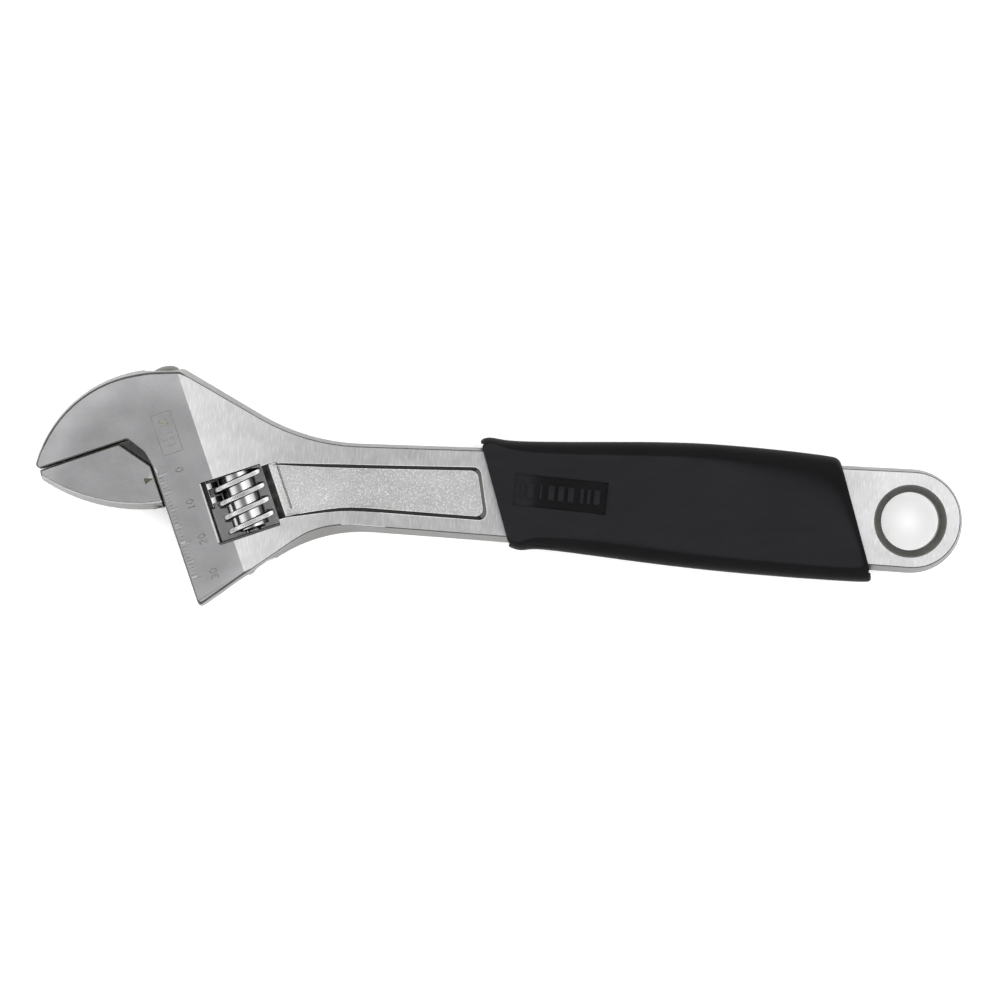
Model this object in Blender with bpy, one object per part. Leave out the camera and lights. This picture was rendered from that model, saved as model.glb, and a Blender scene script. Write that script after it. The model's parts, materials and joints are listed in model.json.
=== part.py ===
"""Adjustable wrench, nominal 250 mm, as its loose pieces: forged body, sliding jaw, worm, worm pin,
worm spring and rubber grip.

The wrench lies on its back: +X runs along the handle to the tail, +Z is the front face, and the
origin is the middle of its bounding box at the lowest point. Sizes below are millimetres.

Two frames are used. The handle frame has its origin at the hang hole, X along the handle, and z = 0
half way through the thickness. The jaw frame has its origin at the throat, where the fixed jaw's
clamping face meets the slide edge: a runs along that face towards the handle, b runs the way the
jaw closes, and HEAD_ANGLE turns it from the handle frame.
"""

import math

import bmesh
import bpy
from mathutils import Matrix, Vector

MM = 0.001
GAP = 0.3  # clearance between pieces that touch, slide or turn in each other

# Head
HEAD_ANGLE = math.radians(22.0)
HANDLE_LENGTH = 212.2  # throat to hang hole, along the handle
THROAT_HEIGHT = 10.9  # throat above the handle's centreline
HEAD_THICKNESS = 17.0
JAW_LENGTH = 29.8  # clamping face, throat line to tip
JAW_OPENING = 0.5  # between the clamping faces at rest
THROAT_WIDTH = 4.1  # chamfer between the clamping face and the slide edge
SLIDE_EDGE = 50.6  # slide edge, throat line to its lower tip
CREASE_A = 14.7  # where the flat of the head ends and the shank starts to thin

# Sliding jaw
JAW_SET_BACK = 0.3  # each face of the sliding jaw below the head's
SHOULDER_WIDTH = 6.8
SHOULDER_DEPTH = 8.5
JAW_HEEL = 20.6  # clamping face to the heel at the slide edge
WEB_THICKNESS = 5.6
STEM_RADIUS = 4.4
STEM_WALL = 6.2  # slide edge to the bore
STEM_TOP = 16.5  # top of the stem above the clamping face
STEM_DOME = 2.4  # height of its domed end
STEM_FOOT = 25.1  # foot of the stem below the clamping face
EDGE_BREAK = 0.35  # chamfer round the faces of the head and the sliding jaw

# Worm
WORM_PITCH = 4.0
WORM_TURNS = 4.1
WORM_RADIUS = 7.05
THREAD_DEPTH = 2.05
CREST_WIDTH = 1.2
ROOT_WIDTH = 2.0
THREAD_PLAY = 0.2  # each side of the thread in the rack
THREAD_SHIFT = 1.0  # how far the thread that faces the rack stands from the worm's middle, in b
PIN_RADIUS = 2.3
PIN_THREAD_RADIUS = 3.0
PIN_LAND = 2.1  # plain hole between the window and the pin's threaded end
PIN_SEAT = 6.5  # blind hole above the window that holds the pin's end
PIN_SINK = 0.8  # the slotted end below the head's lower edge
WINDOW_TOP = -17.9  # upper wall of the worm's window, in b
SPRING_WIRE = 0.4  # wire radius
SPRING_TURNS = 3.5
SPRING_LENGTH = 4.4

# Shank, recessed panels and tail
SHANK_HALF = 5.5  # half the thickness behind the neck
TAIL_HALF = 5.0  # half the thickness at the tail
NECK_LENGTH = 40.6  # crease to where the thinning ends, in a
RECESS_DEPTH = 1.6
RECESS_DRAFT = 0.9
RAMP_WIDTH = 2.0  # finger ramp on the window's handle side
RAMP_SHORT = 0.8  # how much shorter the ramp is than the window, at each end
RAMP_STRIP = 2.3  # ledge between the ramp and the panel
TAIL_RADIUS = 14.5
HANG_HOLE_RADIUS = 8.0
HANG_HOLE_CHAMFER = 1.8

# Grip
GRIP_LENGTH = 99.4
GRIP_REAR = -15.0  # rear edge on the handle's centreline, from the hang hole
FRONT_SLANT = 0.34  # how the front edge leans, as run per rise
REAR_SLANT = 0.333
RUBBER = 3.3  # wall over the shank's faces, at the thickest
GRIP_CORNER = 5.2

ARC_SAG = 0.03  # how far a straight segment may stand off the arc it follows
ROUND_STEPS = 48  # segments round a bore or a stem

# What follows from the sizes above
STEM_A = STEM_WALL + STEM_RADIUS + GAP
WORM_ROOT = WORM_RADIUS - THREAD_DEPTH
WORM_A = STEM_A + STEM_RADIUS + GAP + WORM_ROOT
WORM_LENGTH = WORM_PITCH * WORM_TURNS
WORM_TOP = WINDOW_TOP - GAP
WORM_B = WORM_TOP - WORM_LENGTH / 2
WINDOW_BOTTOM = WINDOW_TOP - WORM_LENGTH - 2 * GAP
WINDOW_LEFT = STEM_A + GAP
WINDOW_RIGHT = WORM_A + WORM_RADIUS + 2 * GAP
PANEL_START = WINDOW_RIGHT + RAMP_WIDTH + RAMP_STRIP
HALF_HEAD = HEAD_THICKNESS / 2
GRIP_FRONT = GRIP_REAR - GRIP_LENGTH
COUNTERBORE_RADIUS = PIN_RADIUS + 2 * GAP + 2 * SPRING_WIRE + GAP


def from_jaw(a, b):
    """A point of the jaw frame in the handle frame."""
    cos, sin = math.cos(HEAD_ANGLE), math.sin(HEAD_ANGLE)
    return (-HANDLE_LENGTH + a * cos - b * sin, THROAT_HEIGHT + a * sin + b * cos)


def to_jaw(x, y):
    """A point of the handle frame in the jaw frame."""
    cos, sin = math.cos(HEAD_ANGLE), math.sin(HEAD_ANGLE)
    dx, dy = x + HANDLE_LENGTH, y - THROAT_HEIGHT
    return (dx * cos + dy * sin, dy * cos - dx * sin)


# ---------------------------------------------------------------- outlines


def edge_lines(corners, height, inset):
    """Each edge of the corner polygon as (point, direction), drawn in by its draft and the inset."""
    lines = []
    for i, (x, y, _, draft) in enumerate(corners):
        start, end = Vector((x, y)), Vector(corners[(i + 1) % len(corners)][:2])
        along = (end - start).normalized()
        inward = Vector((along.y, -along.x))  # the corners run clockwise
        lines.append((start + inward * (draft * abs(height) + inset), along))
    return lines


def crossing(first, second):
    """Where two (point, direction) lines cross."""
    (p, d), (q, e) = first, second
    return p + d * ((q - p).cross(e) / d.cross(e))


def rounded_outline(corners, height=0.0, inset=0.0):
    """Points round a clockwise polygon of (x, y, radius, draft) corners at a height above z = 0.

    Each corner turns into an arc that its two edges have room for. A draft is the inward lean of
    the edge that starts at that corner, as run per rise, and inset draws every edge in further.
    """
    lines = edge_lines(corners, height, inset)
    count = len(corners)
    sharp = [crossing(lines[i - 1], lines[i]) for i in range(count)]
    turns = [lines[i - 1][1].angle_signed(lines[i][1]) for i in range(count)]
    wanted = [abs(math.tan(turns[i] / 2)) * corners[i][2] for i in range(count)]
    edges = [(sharp[(i + 1) % count] - sharp[i]).length for i in range(count)]
    shares = [min(1.0, 0.99 * edges[i] / (wanted[i] + wanted[(i + 1) % count])) for i in range(count)]
    points = []
    for i in range(count):
        before = lines[i - 1][1]
        reach = wanted[i] * min(shares[i - 1], shares[i])
        radius = reach / abs(math.tan(turns[i] / 2))
        start = sharp[i] - before * reach
        centre = start + Vector((before.y, -before.x)) * math.copysign(radius, turns[i])
        steps = arc_steps(corners[i][2], turns[i])
        for step in range(steps + 1):
            spoke = start - centre
            spoke.rotate(Matrix.Rotation(-turns[i] * step / steps, 2))
            points.append(centre + spoke)
    return points


def arc_steps(radius, turn):
    """Segments that keep an arc within ARC_SAG."""
    step = 2 * math.acos(max(1 - ARC_SAG / max(radius, 0.1), 0.8))
    return max(2, math.ceil(abs(turn) / step))


def body_corners():
    """The forging's corners in the handle frame by name, clockwise from the fixed jaw's tip."""
    tip = -JAW_LENGTH
    neck = -HANDLE_LENGTH
    in_jaw_frame = {
        "tip": (tip, 0.0, 0.3, 0.03),
        "nose": (tip - 0.9, 1.5, 0.8, 0.08),
        "back": (tip + 12.1, 20.5, 37.0, 0.13),
        "crown": (6.5, 16.7, 20.0, 0.11),
        "shoulder": (CREASE_A + 1.9, 13.6, 2.0, 0.16),
    }
    along_handle = {
        "neck_top": (neck + 45.3, 11.7, 57.0, 0.16),
        "shank_top": (GRIP_FRONT - 4.7, 13.0, 5.0, 0.16),
        "tail_top": (TAIL_RADIUS, TAIL_RADIUS, TAIL_RADIUS, 0.16),
        "tail_low": (TAIL_RADIUS, -TAIL_RADIUS, TAIL_RADIUS, 0.30),
        "neck_low": (neck + 51.0, -11.9, 42.0, 0.22),
        "knee": (neck + 29.1, -27.9, 6.0, 0.10),
    }
    slide_and_throat = {
        "toe": (0.0, -SLIDE_EDGE, 0.8, 0.0),
        "slide_top": (0.0, -THROAT_WIDTH - 5.4, 3.0, 0.0),
        "throat": (-0.9, -THROAT_WIDTH - 0.8, 1.5, 0.0),
        "root": (-THROAT_WIDTH, 0.0, 0.9, 0.0),
    }
    corners = {name: (*from_jaw(*spot[:2]), *spot[2:]) for name, spot in in_jaw_frame.items()}
    corners |= along_handle
    corners |= {name: (*from_jaw(*spot[:2]), *spot[2:]) for name, spot in slide_and_throat.items()}
    return corners


def sliding_jaw_corners():
    """The sliding jaw's outline in the jaw frame, with its clamping face at b = 0."""
    tip, heel_edge = -JAW_LENGTH, -GAP
    return [
        (tip, 0.0, 0.3, 0.0),
        (-SHOULDER_WIDTH, 0.0, 0.8, 0.0),
        (heel_edge, -SHOULDER_DEPTH, 0.6, 0.0),
        (heel_edge, -JAW_HEEL, 0.5, 0.19),
        (tip + 11.7, -JAW_HEEL + 3.5, 51.6, 0.12),
        (tip - 0.5, -2.4, 1.6, 0.04),
    ]


def panel_corners():
    """The recessed panel's outline in the handle frame at the shank's face, open to the window."""
    top_left = from_jaw(PANEL_START - RAMP_STRIP, WINDOW_TOP - RAMP_SHORT)
    bottom_left = from_jaw(PANEL_START - RAMP_STRIP, WINDOW_BOTTOM + RAMP_SHORT)
    end = GRIP_FRONT - 4.4
    lean = math.tan(HEAD_ANGLE)
    return [
        (*top_left, 0.3, RECESS_DRAFT / RECESS_DEPTH),
        (top_left[0] + 3.5, 5.3, 8.0, RECESS_DRAFT / RECESS_DEPTH),
        (end, 7.6, 2.2, RECESS_DRAFT / RECESS_DEPTH),
        (end + 14.6 * lean / 2, -7.0, 2.0, RECESS_DRAFT / RECESS_DEPTH),
        (top_left[0] + 22.0, -6.3, 50.0, RECESS_DRAFT / RECESS_DEPTH),
        (*bottom_left, 0.3, 0.0),
    ]


# ---------------------------------------------------------------- meshes and objects


def finished(name, bm, parent, material=None):
    """A new object from a bmesh in millimetres, with its faces turned out."""
    bmesh.ops.recalc_face_normals(bm, faces=bm.faces)
    bmesh.ops.scale(bm, vec=(MM, MM, MM), verts=bm.verts)
    mesh = bpy.data.meshes.new(name)
    bm.to_mesh(mesh)
    bm.free()
    mesh.shade_smooth()
    mesh.set_sharp_from_angle(angle=math.radians(30))
    if material:
        mesh.materials.append(material)
    made = bpy.data.objects.new(name, mesh)
    bpy.context.scene.collection.objects.link(made)
    made.parent = parent
    return made


def bridged(bm, loops):
    """Walls between successive closed loops of vertices, and an n-gon over the first and the last."""
    for low, high in zip(loops, loops[1:]):
        for i in range(len(low)):
            j = (i + 1) % len(low)
            bm.faces.new((low[i], low[j], high[j], high[i]))
    bm.faces.new(loops[0])
    bm.faces.new(loops[-1])


def loop_at(bm, outline, height):
    return [bm.verts.new((point[0], point[1], height)) for point in outline]


def drafted_plate(corners, half):
    """A plate of an outline, widest half way through, drawn in towards both faces, their edges broken."""
    bm = bmesh.new()
    shoulder = half - EDGE_BREAK
    levels = ((-half, EDGE_BREAK), (-shoulder, 0.0), (0.0, 0.0), (shoulder, 0.0), (half, EDGE_BREAK))
    bridged(bm, [loop_at(bm, rounded_outline(corners, z, inset), z) for z, inset in levels])
    return bm


def prism(section, start, end, place):
    """A section of (u, v) points swept from start to end, each point put in space by place(u, v, w)."""
    bm = bmesh.new()
    bridged(bm, [[bm.verts.new(place(u, v, w)) for u, v in section] for w in (start, end)])
    return bm


def across_head(a, z, b):
    """Places a section drawn in a and z, swept along b."""
    return (*from_jaw(a, b), z)


def turned(profile, steps=ROUND_STEPS, phase=0.0):
    """A solid of revolution about Z from (radius, z) points that start and end on the axis."""
    bm = bmesh.new()
    rings = [
        [
            bm.verts.new((radius * math.cos(angle), radius * math.sin(angle), z))
            for angle in (2 * math.pi * (i + phase) / steps for i in range(steps))
        ]
        for radius, z in profile[1:-1]
    ]
    for low, high in zip(rings, rings[1:]):
        for i in range(steps):
            j = (i + 1) % steps
            bm.faces.new((low[i], low[j], high[j], high[i]))
    for ring, z in ((rings[0], profile[0][1]), (rings[-1], profile[-1][1])):
        centre = bm.verts.new((0, 0, z))
        for i in range(steps):
            bm.faces.new((ring[i], ring[(i + 1) % steps], centre))
    return bm


def rod(radius, bottom, top):
    """A plain cylinder about Z."""
    return turned([(0, bottom), (radius, bottom), (radius, top), (0, top)])


def helper(name, bm, parent):
    """A cutter: drawn as wire, and left out of the model."""
    made = finished(name, bm, parent)
    made.hide_render = True
    made.display_type = "WIRE"
    return made


def combine(target, operation, *others):
    for other in others:
        modifier = target.modifiers.new(other.name, "BOOLEAN")
        modifier.operation = operation
        modifier.object = other
        modifier.solver = "EXACT"


def metal(name, colour, roughness):
    material = bpy.data.materials.new(name)
    material.use_nodes = True
    shader = material.node_tree.nodes["Principled BSDF"]
    shader.inputs["Base Color"].default_value = (*colour, 1.0)
    shader.inputs["Roughness"].default_value = roughness
    shader.inputs["Metallic"].default_value = 1.0
    return material


def rubber():
    material = metal("black_rubber", (0.02, 0.02, 0.021), 0.55)
    material.node_tree.nodes["Principled BSDF"].inputs["Metallic"].default_value = 0.0
    return material


def empty(name, location, rotation, parent=None):
    made = bpy.data.objects.new(name, None)
    made.location = Vector(location) * MM
    made.rotation_euler = rotation
    made.parent = parent
    bpy.context.scene.collection.objects.link(made)
    return made


# ---------------------------------------------------------------- body


def half_thickness(a):
    """Half the forging's thickness at a: the head's flat, a hollow arc behind the crease, the shank."""
    shank_start = CREASE_A + NECK_LENGTH
    tail = to_jaw(TAIL_RADIUS, 0)[0]
    if a <= shank_start:
        left = (shank_start - a) / NECK_LENGTH
        return SHANK_HALF + (HALF_HEAD - SHANK_HALF) * left**2
    return SHANK_HALF + (TAIL_HALF - SHANK_HALF) * (a - shank_start) / (tail - shank_start)


def above_surface(depth, face, steps=10):
    """The (a, z) section of everything above the forging's surface sunk by depth, on one face."""
    sky = HEAD_THICKNESS
    lead_in = 6.0  # carries the hollow arc on past the crease, so the cut leaves the head's flat cleanly
    start = CREASE_A - lead_in
    curve = [start + (NECK_LENGTH + lead_in) * i / steps for i in range(steps + 1)]
    far = to_jaw(TAIL_RADIUS, 0)[0] + 20.0
    points = [(a, half_thickness(a) - depth) for a in [*curve, far]]
    return [(a, face * z) for a, z in [*points, (far, sky), (start, sky)]]


def ramp_section():
    """The finger ramp in a and z, on both faces, and the ledge between it and the panel."""
    sky = HEAD_THICKNESS
    middle = WINDOW_RIGHT - 1.0
    ramp_top = half_thickness(WINDOW_RIGHT + RAMP_WIDTH) - RECESS_DEPTH - 0.6
    ramp = [(middle, 1.0), (WINDOW_RIGHT, 1.0), (WINDOW_RIGHT + RAMP_WIDTH, ramp_top)]
    ledge = [(PANEL_START, half_thickness(PANEL_START) - RECESS_DEPTH + 0.05), (PANEL_START, sky)]
    upper = [*ramp, *ledge, (middle, sky)]
    return upper, [(a, -z) for a, z in reversed(upper)]


def build_body(root, steel):
    body = finished("body", drafted_plate(list(body_corners().values()), HALF_HEAD), root, steel)
    reach = 250.0
    cutters = []
    for face, side in ((1, "front"), (-1, "back")):
        thinning = prism(above_surface(0.0, face), -reach, reach, across_head)
        cutters.append(helper(f"cut_thinning_{side}", thinning, root))
        floor = helper(
            f"cut_floor_{side}", prism(above_surface(RECESS_DEPTH, face), -reach, reach, across_head), root
        )
        panel = helper(f"cut_panel_{side}", panel_plug(face), root)
        combine(panel, "INTERSECT", floor)
        cutters.append(panel)
    middle, sky = (WINDOW_LEFT + WINDOW_RIGHT) / 2, HEAD_THICKNESS
    opening = [(a + middle, z) for a, z in rectangle(WINDOW_LEFT - middle, WINDOW_RIGHT - middle, sky)]
    window = prism(opening, WINDOW_BOTTOM, WINDOW_TOP, across_head)
    for side, section in zip(("front", "back"), ramp_section()):
        ramp = prism(section, WINDOW_BOTTOM + RAMP_SHORT, WINDOW_TOP - RAMP_SHORT, across_head)
        cutters.append(helper(f"cut_ramp_{side}", ramp, root))
    slit = prism(rectangle(-2.0, STEM_A, WEB_THICKNESS / 2 + GAP), -80.0, -SHOULDER_DEPTH + 2.0, across_head)
    cutters += [helper("cut_window", window, root), helper("cut_slit", slit, root)]
    stem_axis = empty("bore_axis", (*from_jaw(STEM_A, 0), 0), (-math.pi / 2, 0, HEAD_ANGLE), root)
    worm_axis = empty("pin_hole_axis", (*from_jaw(WORM_A, 0), 0), (-math.pi / 2, 0, HEAD_ANGLE), root)
    cutters += [
        helper("cut_bore", rod(STEM_RADIUS + GAP, -80.0, 60.0), stem_axis),
        helper("cut_pin_hole", rod(PIN_RADIUS + GAP, -80.0, WINDOW_TOP + PIN_SEAT), worm_axis),
        helper("cut_pin_thread", rod(PIN_THREAD_RADIUS + GAP, -80.0, pin_shoulder() + GAP), worm_axis),
        helper("cut_hang_hole", hang_hole(), root),
    ]
    combine(body, "DIFFERENCE", *cutters)
    return body


def rectangle(left, right, half):
    return [(left, -half), (right, -half), (right, half), (left, half)]


def panel_plug(face):
    """The block whose sides are the recess's drafted walls, from below its floor to above the face."""
    outline = panel_corners()
    surface = SHANK_HALF
    sky = HEAD_THICKNESS
    bm = bmesh.new()
    loops = []
    for height in (0.0, surface, sky):
        lean = max(surface - height, 0.0)
        loops.append(loop_at(bm, rounded_outline(outline, lean), face * height))
    bridged(bm, loops)
    return bm


def hang_hole():
    """The through hole with a chamfer at each face."""
    radius, chamfer, sky = HANG_HOLE_RADIUS, HANG_HOLE_CHAMFER, HEAD_THICKNESS
    waist = half_thickness(to_jaw(0, 0)[0]) - chamfer
    flare = radius + sky - waist
    return turned([(0, -sky), (flare, -sky), (radius, -waist), (radius, waist), (flare, sky), (0, sky)])


# ---------------------------------------------------------------- sliding jaw


def stem_profile():
    """The stem about its own axis: chamfered foot, straight, domed top. Its z is b."""
    foot, chamfer = -STEM_FOOT, 0.4
    dome_start = STEM_TOP - STEM_DOME
    quarter = [math.pi / 2 * i / 8 for i in range(8)]
    dome = [(STEM_RADIUS * math.cos(t), dome_start + STEM_DOME * math.sin(t)) for t in quarter]
    ends = [(0, foot), (STEM_RADIUS - chamfer, foot), (STEM_RADIUS, foot + chamfer)]
    return [*ends, *dome, (0, STEM_TOP)]


def rack_space(centre):
    """One space of the rack, leaning by the worm's lead, about the stem's axis with z along b."""
    mouth = STEM_RADIUS + 1.0
    floor = STEM_RADIUS - THREAD_DEPTH
    slope = (ROOT_WIDTH - CREST_WIDTH) / 2 / THREAD_DEPTH
    floor_half = CREST_WIDTH / 2 + THREAD_PLAY
    mouth_half = floor_half + slope * (mouth - floor)
    lead = WORM_PITCH / (2 * math.pi * (WORM_RADIUS - THREAD_DEPTH / 2))
    width = STEM_RADIUS + 1.0
    section = [(floor, -floor_half), (mouth, -mouth_half), (mouth, mouth_half), (floor, floor_half)]
    return prism(section, -width, width, lambda x, z, y: (x, y, centre + z - y * lead))


def rack_centres():
    """The rack spaces' places in b on the sliding jaw, so that they stand over the thread at rest."""
    at_stem = WORM_B + THREAD_SHIFT + JAW_OPENING
    first = math.floor((-STEM_FOOT - at_stem) / WORM_PITCH)
    last = math.floor((STEM_TOP - STEM_DOME - at_stem) / WORM_PITCH)
    return [at_stem + WORM_PITCH * k for k in range(first, last + 1)]


def build_sliding_jaw(root, steel):
    """The jaw hangs on an empty on its slide line, which is the stem's axis."""
    place = (*from_jaw(STEM_A, -JAW_OPENING), 0)
    slide_line = empty("slide_line", place, (0, 0, HEAD_ANGLE), root)
    stem_axis = empty("stem_axis", (0, 0, 0), (-math.pi / 2, 0, 0), slide_line)
    plate = drafted_plate(sliding_jaw_corners(), HALF_HEAD - JAW_SET_BACK)
    bmesh.ops.translate(plate, verts=plate.verts, vec=(-STEM_A, 0, 0))
    jaw = finished("sliding_jaw", plate, slide_line, steel)
    web_section = rectangle(-STEM_A - GAP - 3.0, -1.0, WEB_THICKNESS / 2)
    web = prism(web_section, -JAW_HEEL + 0.6, -SHOULDER_DEPTH - 0.4, lambda x, z, y: (x, y, z))
    stem = helper("add_stem", turned(stem_profile()), stem_axis)
    combine(jaw, "UNION", helper("add_web", web, slide_line), stem)
    spaces = [helper(f"cut_rack_{i}", rack_space(b), stem_axis) for i, b in enumerate(rack_centres())]
    combine(jaw, "DIFFERENCE", *spaces)
    return jaw


# ---------------------------------------------------------------- worm, pin and spring


def thread_surface(turns, steps=36):
    """A right-handed threaded bar about Z, longer than the worm, with a crest on -X at THREAD_SHIFT."""
    flank = (ROOT_WIDTH - CREST_WIDTH) / 2
    half_crest, half_root = CREST_WIDTH / 2, CREST_WIDTH / 2 + flank
    profile = [
        (WORM_ROOT, -half_root),
        (WORM_RADIUS + 0.2, -half_crest),
        (WORM_RADIUS + 0.2, half_crest),
        (WORM_ROOT, half_root),
    ]
    bm = bmesh.new()
    start = THREAD_SHIFT - (math.ceil(turns / 2) + 0.5) * WORM_PITCH
    rows = []
    for i in range(steps * (turns + 1)):
        angle = 2 * math.pi * i / steps
        rise = start + WORM_PITCH * i / steps
        rows.append(
            [bm.verts.new((r * math.cos(angle), r * math.sin(angle), rise + z)) for r, z in profile]
        )
    for i in range(len(rows) - 1):
        for j in range(len(profile) - 1):
            bm.faces.new((rows[i][j], rows[i + 1][j], rows[i + 1][j + 1], rows[i][j + 1]))
    for i in range(len(rows) - steps - 1):
        low, low_next, high, high_next = rows[i], rows[i + 1], rows[i + steps], rows[i + steps + 1]
        bm.faces.new((low[-1], low_next[-1], high_next[0], high[0]))
    close_spiral_end(bm, [row[0] for row in rows[: steps + 1]] + list(reversed(rows[0][1:])))
    tail = rows[-steps - 1 :]
    close_spiral_end(bm, [row[-1] for row in tail] + list(reversed(tail[-1][:-1])))
    return bm


def close_spiral_end(bm, rim):
    """A fan from the axis over a rim."""
    centre = bm.verts.new((0, 0, sum(vert.co.z for vert in rim) / len(rim)))
    for i, vert in enumerate(rim):
        bm.faces.new((vert, rim[(i + 1) % len(rim)], centre))


def pin_shoulder():
    """Where the pin's threaded end stops, in b."""
    return WINDOW_BOTTOM - PIN_LAND


def pin_foot():
    """The pin's slotted end in b, a little inside the head's lower edge."""
    corners = body_corners()
    (a1, b1), (a2, b2) = to_jaw(*corners["neck_low"][:2]), to_jaw(*corners["knee"][:2])
    edge = b1 + (b2 - b1) * (WORM_A - a1) / (a2 - a1)
    return edge + PIN_SINK


def build_worm_set(root, steel, spring_steel):
    """The worm, its pin and its spring, on an empty at the worm's middle with Z along the worm."""
    place = (*from_jaw(WORM_A, WORM_B), 0)
    axis = empty("worm_axis", place, (-math.pi / 2, 0, HEAD_ANGLE), root)
    half, break_edge = WORM_LENGTH / 2, 0.5
    outside = [(0, -half), (WORM_RADIUS - break_edge, -half), (WORM_RADIUS, -half + break_edge)]
    envelope = turned([*outside, *[(r, -z) for r, z in reversed(outside)]], 60, 0.37)
    worm = finished("worm", envelope, axis, steel)
    thread = helper("keep_thread", thread_surface(math.ceil(WORM_TURNS) + 1), axis)
    bore = helper("cut_worm_bore", rod(PIN_RADIUS + GAP, -half - 5, half + 5), axis)
    pocket_top = -half + SPRING_LENGTH + GAP
    pocket = helper("cut_spring_pocket", rod(COUNTERBORE_RADIUS, -half - 5, pocket_top), axis)
    combine(worm, "INTERSECT", thread)
    combine(worm, "DIFFERENCE", bore, pocket)
    build_pin(axis, steel)
    build_spring(axis, spring_steel, -half)


def build_pin(axis, steel):
    """A plain journal with a larger threaded end and a driver slot."""
    foot, shoulder = pin_foot() - WORM_B, pin_shoulder() - WORM_B
    tip = WINDOW_TOP + PIN_SEAT - GAP - WORM_B
    profile = [
        (0, foot),
        (PIN_THREAD_RADIUS - 0.4, foot),
        (PIN_THREAD_RADIUS, foot + 0.4),
        (PIN_THREAD_RADIUS, shoulder),
        (PIN_RADIUS, shoulder),
        (PIN_RADIUS, tip - 0.5),
        (PIN_RADIUS - 0.5, tip),
        (0, tip),
    ]
    pin = finished("worm_pin", turned(profile, 32), axis, steel)
    slot_half, slot_depth = 0.4, 1.2
    slot = prism(
        rectangle(-slot_half, slot_half, 10.0), foot - 2, foot + slot_depth, lambda x, y, z: (x, y, z)
    )
    combine(pin, "DIFFERENCE", helper("cut_driver_slot", slot, axis))


def build_spring(axis, steel, foot, steps=20, sides=8):
    """A short coil round the pin that presses the worm up against the window's wall."""
    radius = PIN_RADIUS + 2 * GAP + SPRING_WIRE
    low, high = foot + SPRING_WIRE, foot + SPRING_LENGTH - SPRING_WIRE
    count = round(SPRING_TURNS * steps)
    bm = bmesh.new()
    rings = []
    for i in range(count + 1):
        angle = 2 * math.pi * i / steps
        out = Vector((math.cos(angle), math.sin(angle), 0))
        centre = out * radius + Vector((0, 0, low + (high - low) * i / count))
        spokes = [2 * math.pi * side / sides for side in range(sides)]
        rings.append(
            [
                bm.verts.new(centre + (out * math.cos(t) + Vector((0, 0, math.sin(t)))) * SPRING_WIRE)
                for t in spokes
            ]
        )
    bridged(bm, rings)
    finished("worm_spring", bm, axis, steel)


# ---------------------------------------------------------------- grip


def grip_stations():
    """(run from the front, rubber over the shank's top edge, low edge and faces) along the sleeve."""
    end = GRIP_LENGTH
    return [
        (0.0, 1.6, 1.2, RUBBER - 1.4),
        (0.9, 2.5, 1.6, RUBBER - 0.7),
        (3.1, 3.1, 2.1, RUBBER - 0.5),
        (6.0, 2.5, 1.3, RUBBER - 0.8),
        (10.0, 2.2, 1.2, RUBBER - 0.9),
        (20.0, 2.5, 1.7, RUBBER - 0.7),
        (0.40 * end, 3.5, 3.0, RUBBER - 0.2),
        (0.60 * end, 4.4, 3.7, RUBBER),
        (0.80 * end, 3.7, 3.8, RUBBER - 0.2),
        (end - 2.0, 2.5, 3.6, RUBBER - 0.6),
        (end - 0.6, 2.0, 3.2, RUBBER - 1.0),
        (end, 1.0, 2.2, RUBBER - 1.9),
    ]


def sleeve_section(x_mid, slant, top, bottom, half, corner):
    """A rounded rectangle across the handle, leaning as the sleeve's ends do."""
    quarter = 6
    points = []
    for sy, sz, first in ((1, 1, 0), (-1, 1, 1), (-1, -1, 2), (1, -1, 3)):
        cy = (top if sy > 0 else bottom) - sy * corner
        cz = sz * (half - corner)
        for i in range(quarter + 1):
            angle = math.pi / 2 * (first + i / quarter)
            y, z = cy + corner * math.cos(angle), cz + corner * math.sin(angle)
            points.append((x_mid - slant * y, y, z))
    return points


def shank_edges(x):
    """The forging's upper and lower edge at a place under the grip."""
    corners = body_corners()
    edges = []
    for start, end in (("shank_top", "tail_top"), ("neck_low", "tail_low")):
        (x1, y1), (x2, y2) = corners[start][:2], corners[end][:2]
        edges.append(y1 + (y2 - y1) * (x - x1) / (x2 - x1))
    return edges


def build_grip(root, material):
    """A rubber sleeve on the shank: an outer skin and a bore that clears the forging by GAP."""
    bm = bmesh.new()
    outer, inner = [], []
    for run, over, under, wall in grip_stations():
        x = GRIP_FRONT + run
        slant = FRONT_SLANT + (REAR_SLANT - FRONT_SLANT) * run / GRIP_LENGTH
        shank_half = half_thickness(to_jaw(x, 0)[0])
        shank_top, shank_low = shank_edges(x)
        skin = sleeve_section(x, slant, shank_top + over, shank_low - under, shank_half + wall, GRIP_CORNER)
        bore = sleeve_section(x, slant, shank_top + 2 * GAP, shank_low - 2 * GAP, shank_half + GAP, 0.5)
        outer.append([bm.verts.new(point) for point in skin])
        inner.append([bm.verts.new(point) for point in bore])
    for rings in (outer, inner, [outer[0], inner[0]], [outer[-1], inner[-1]]):
        for low, high in zip(rings, rings[1:]):
            for i in range(len(low)):
                j = (i + 1) % len(low)
                bm.faces.new((low[i], low[j], high[j], high[i]))
    return finished("grip", bm, root, material)


# ---------------------------------------------------------------- assembly


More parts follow.
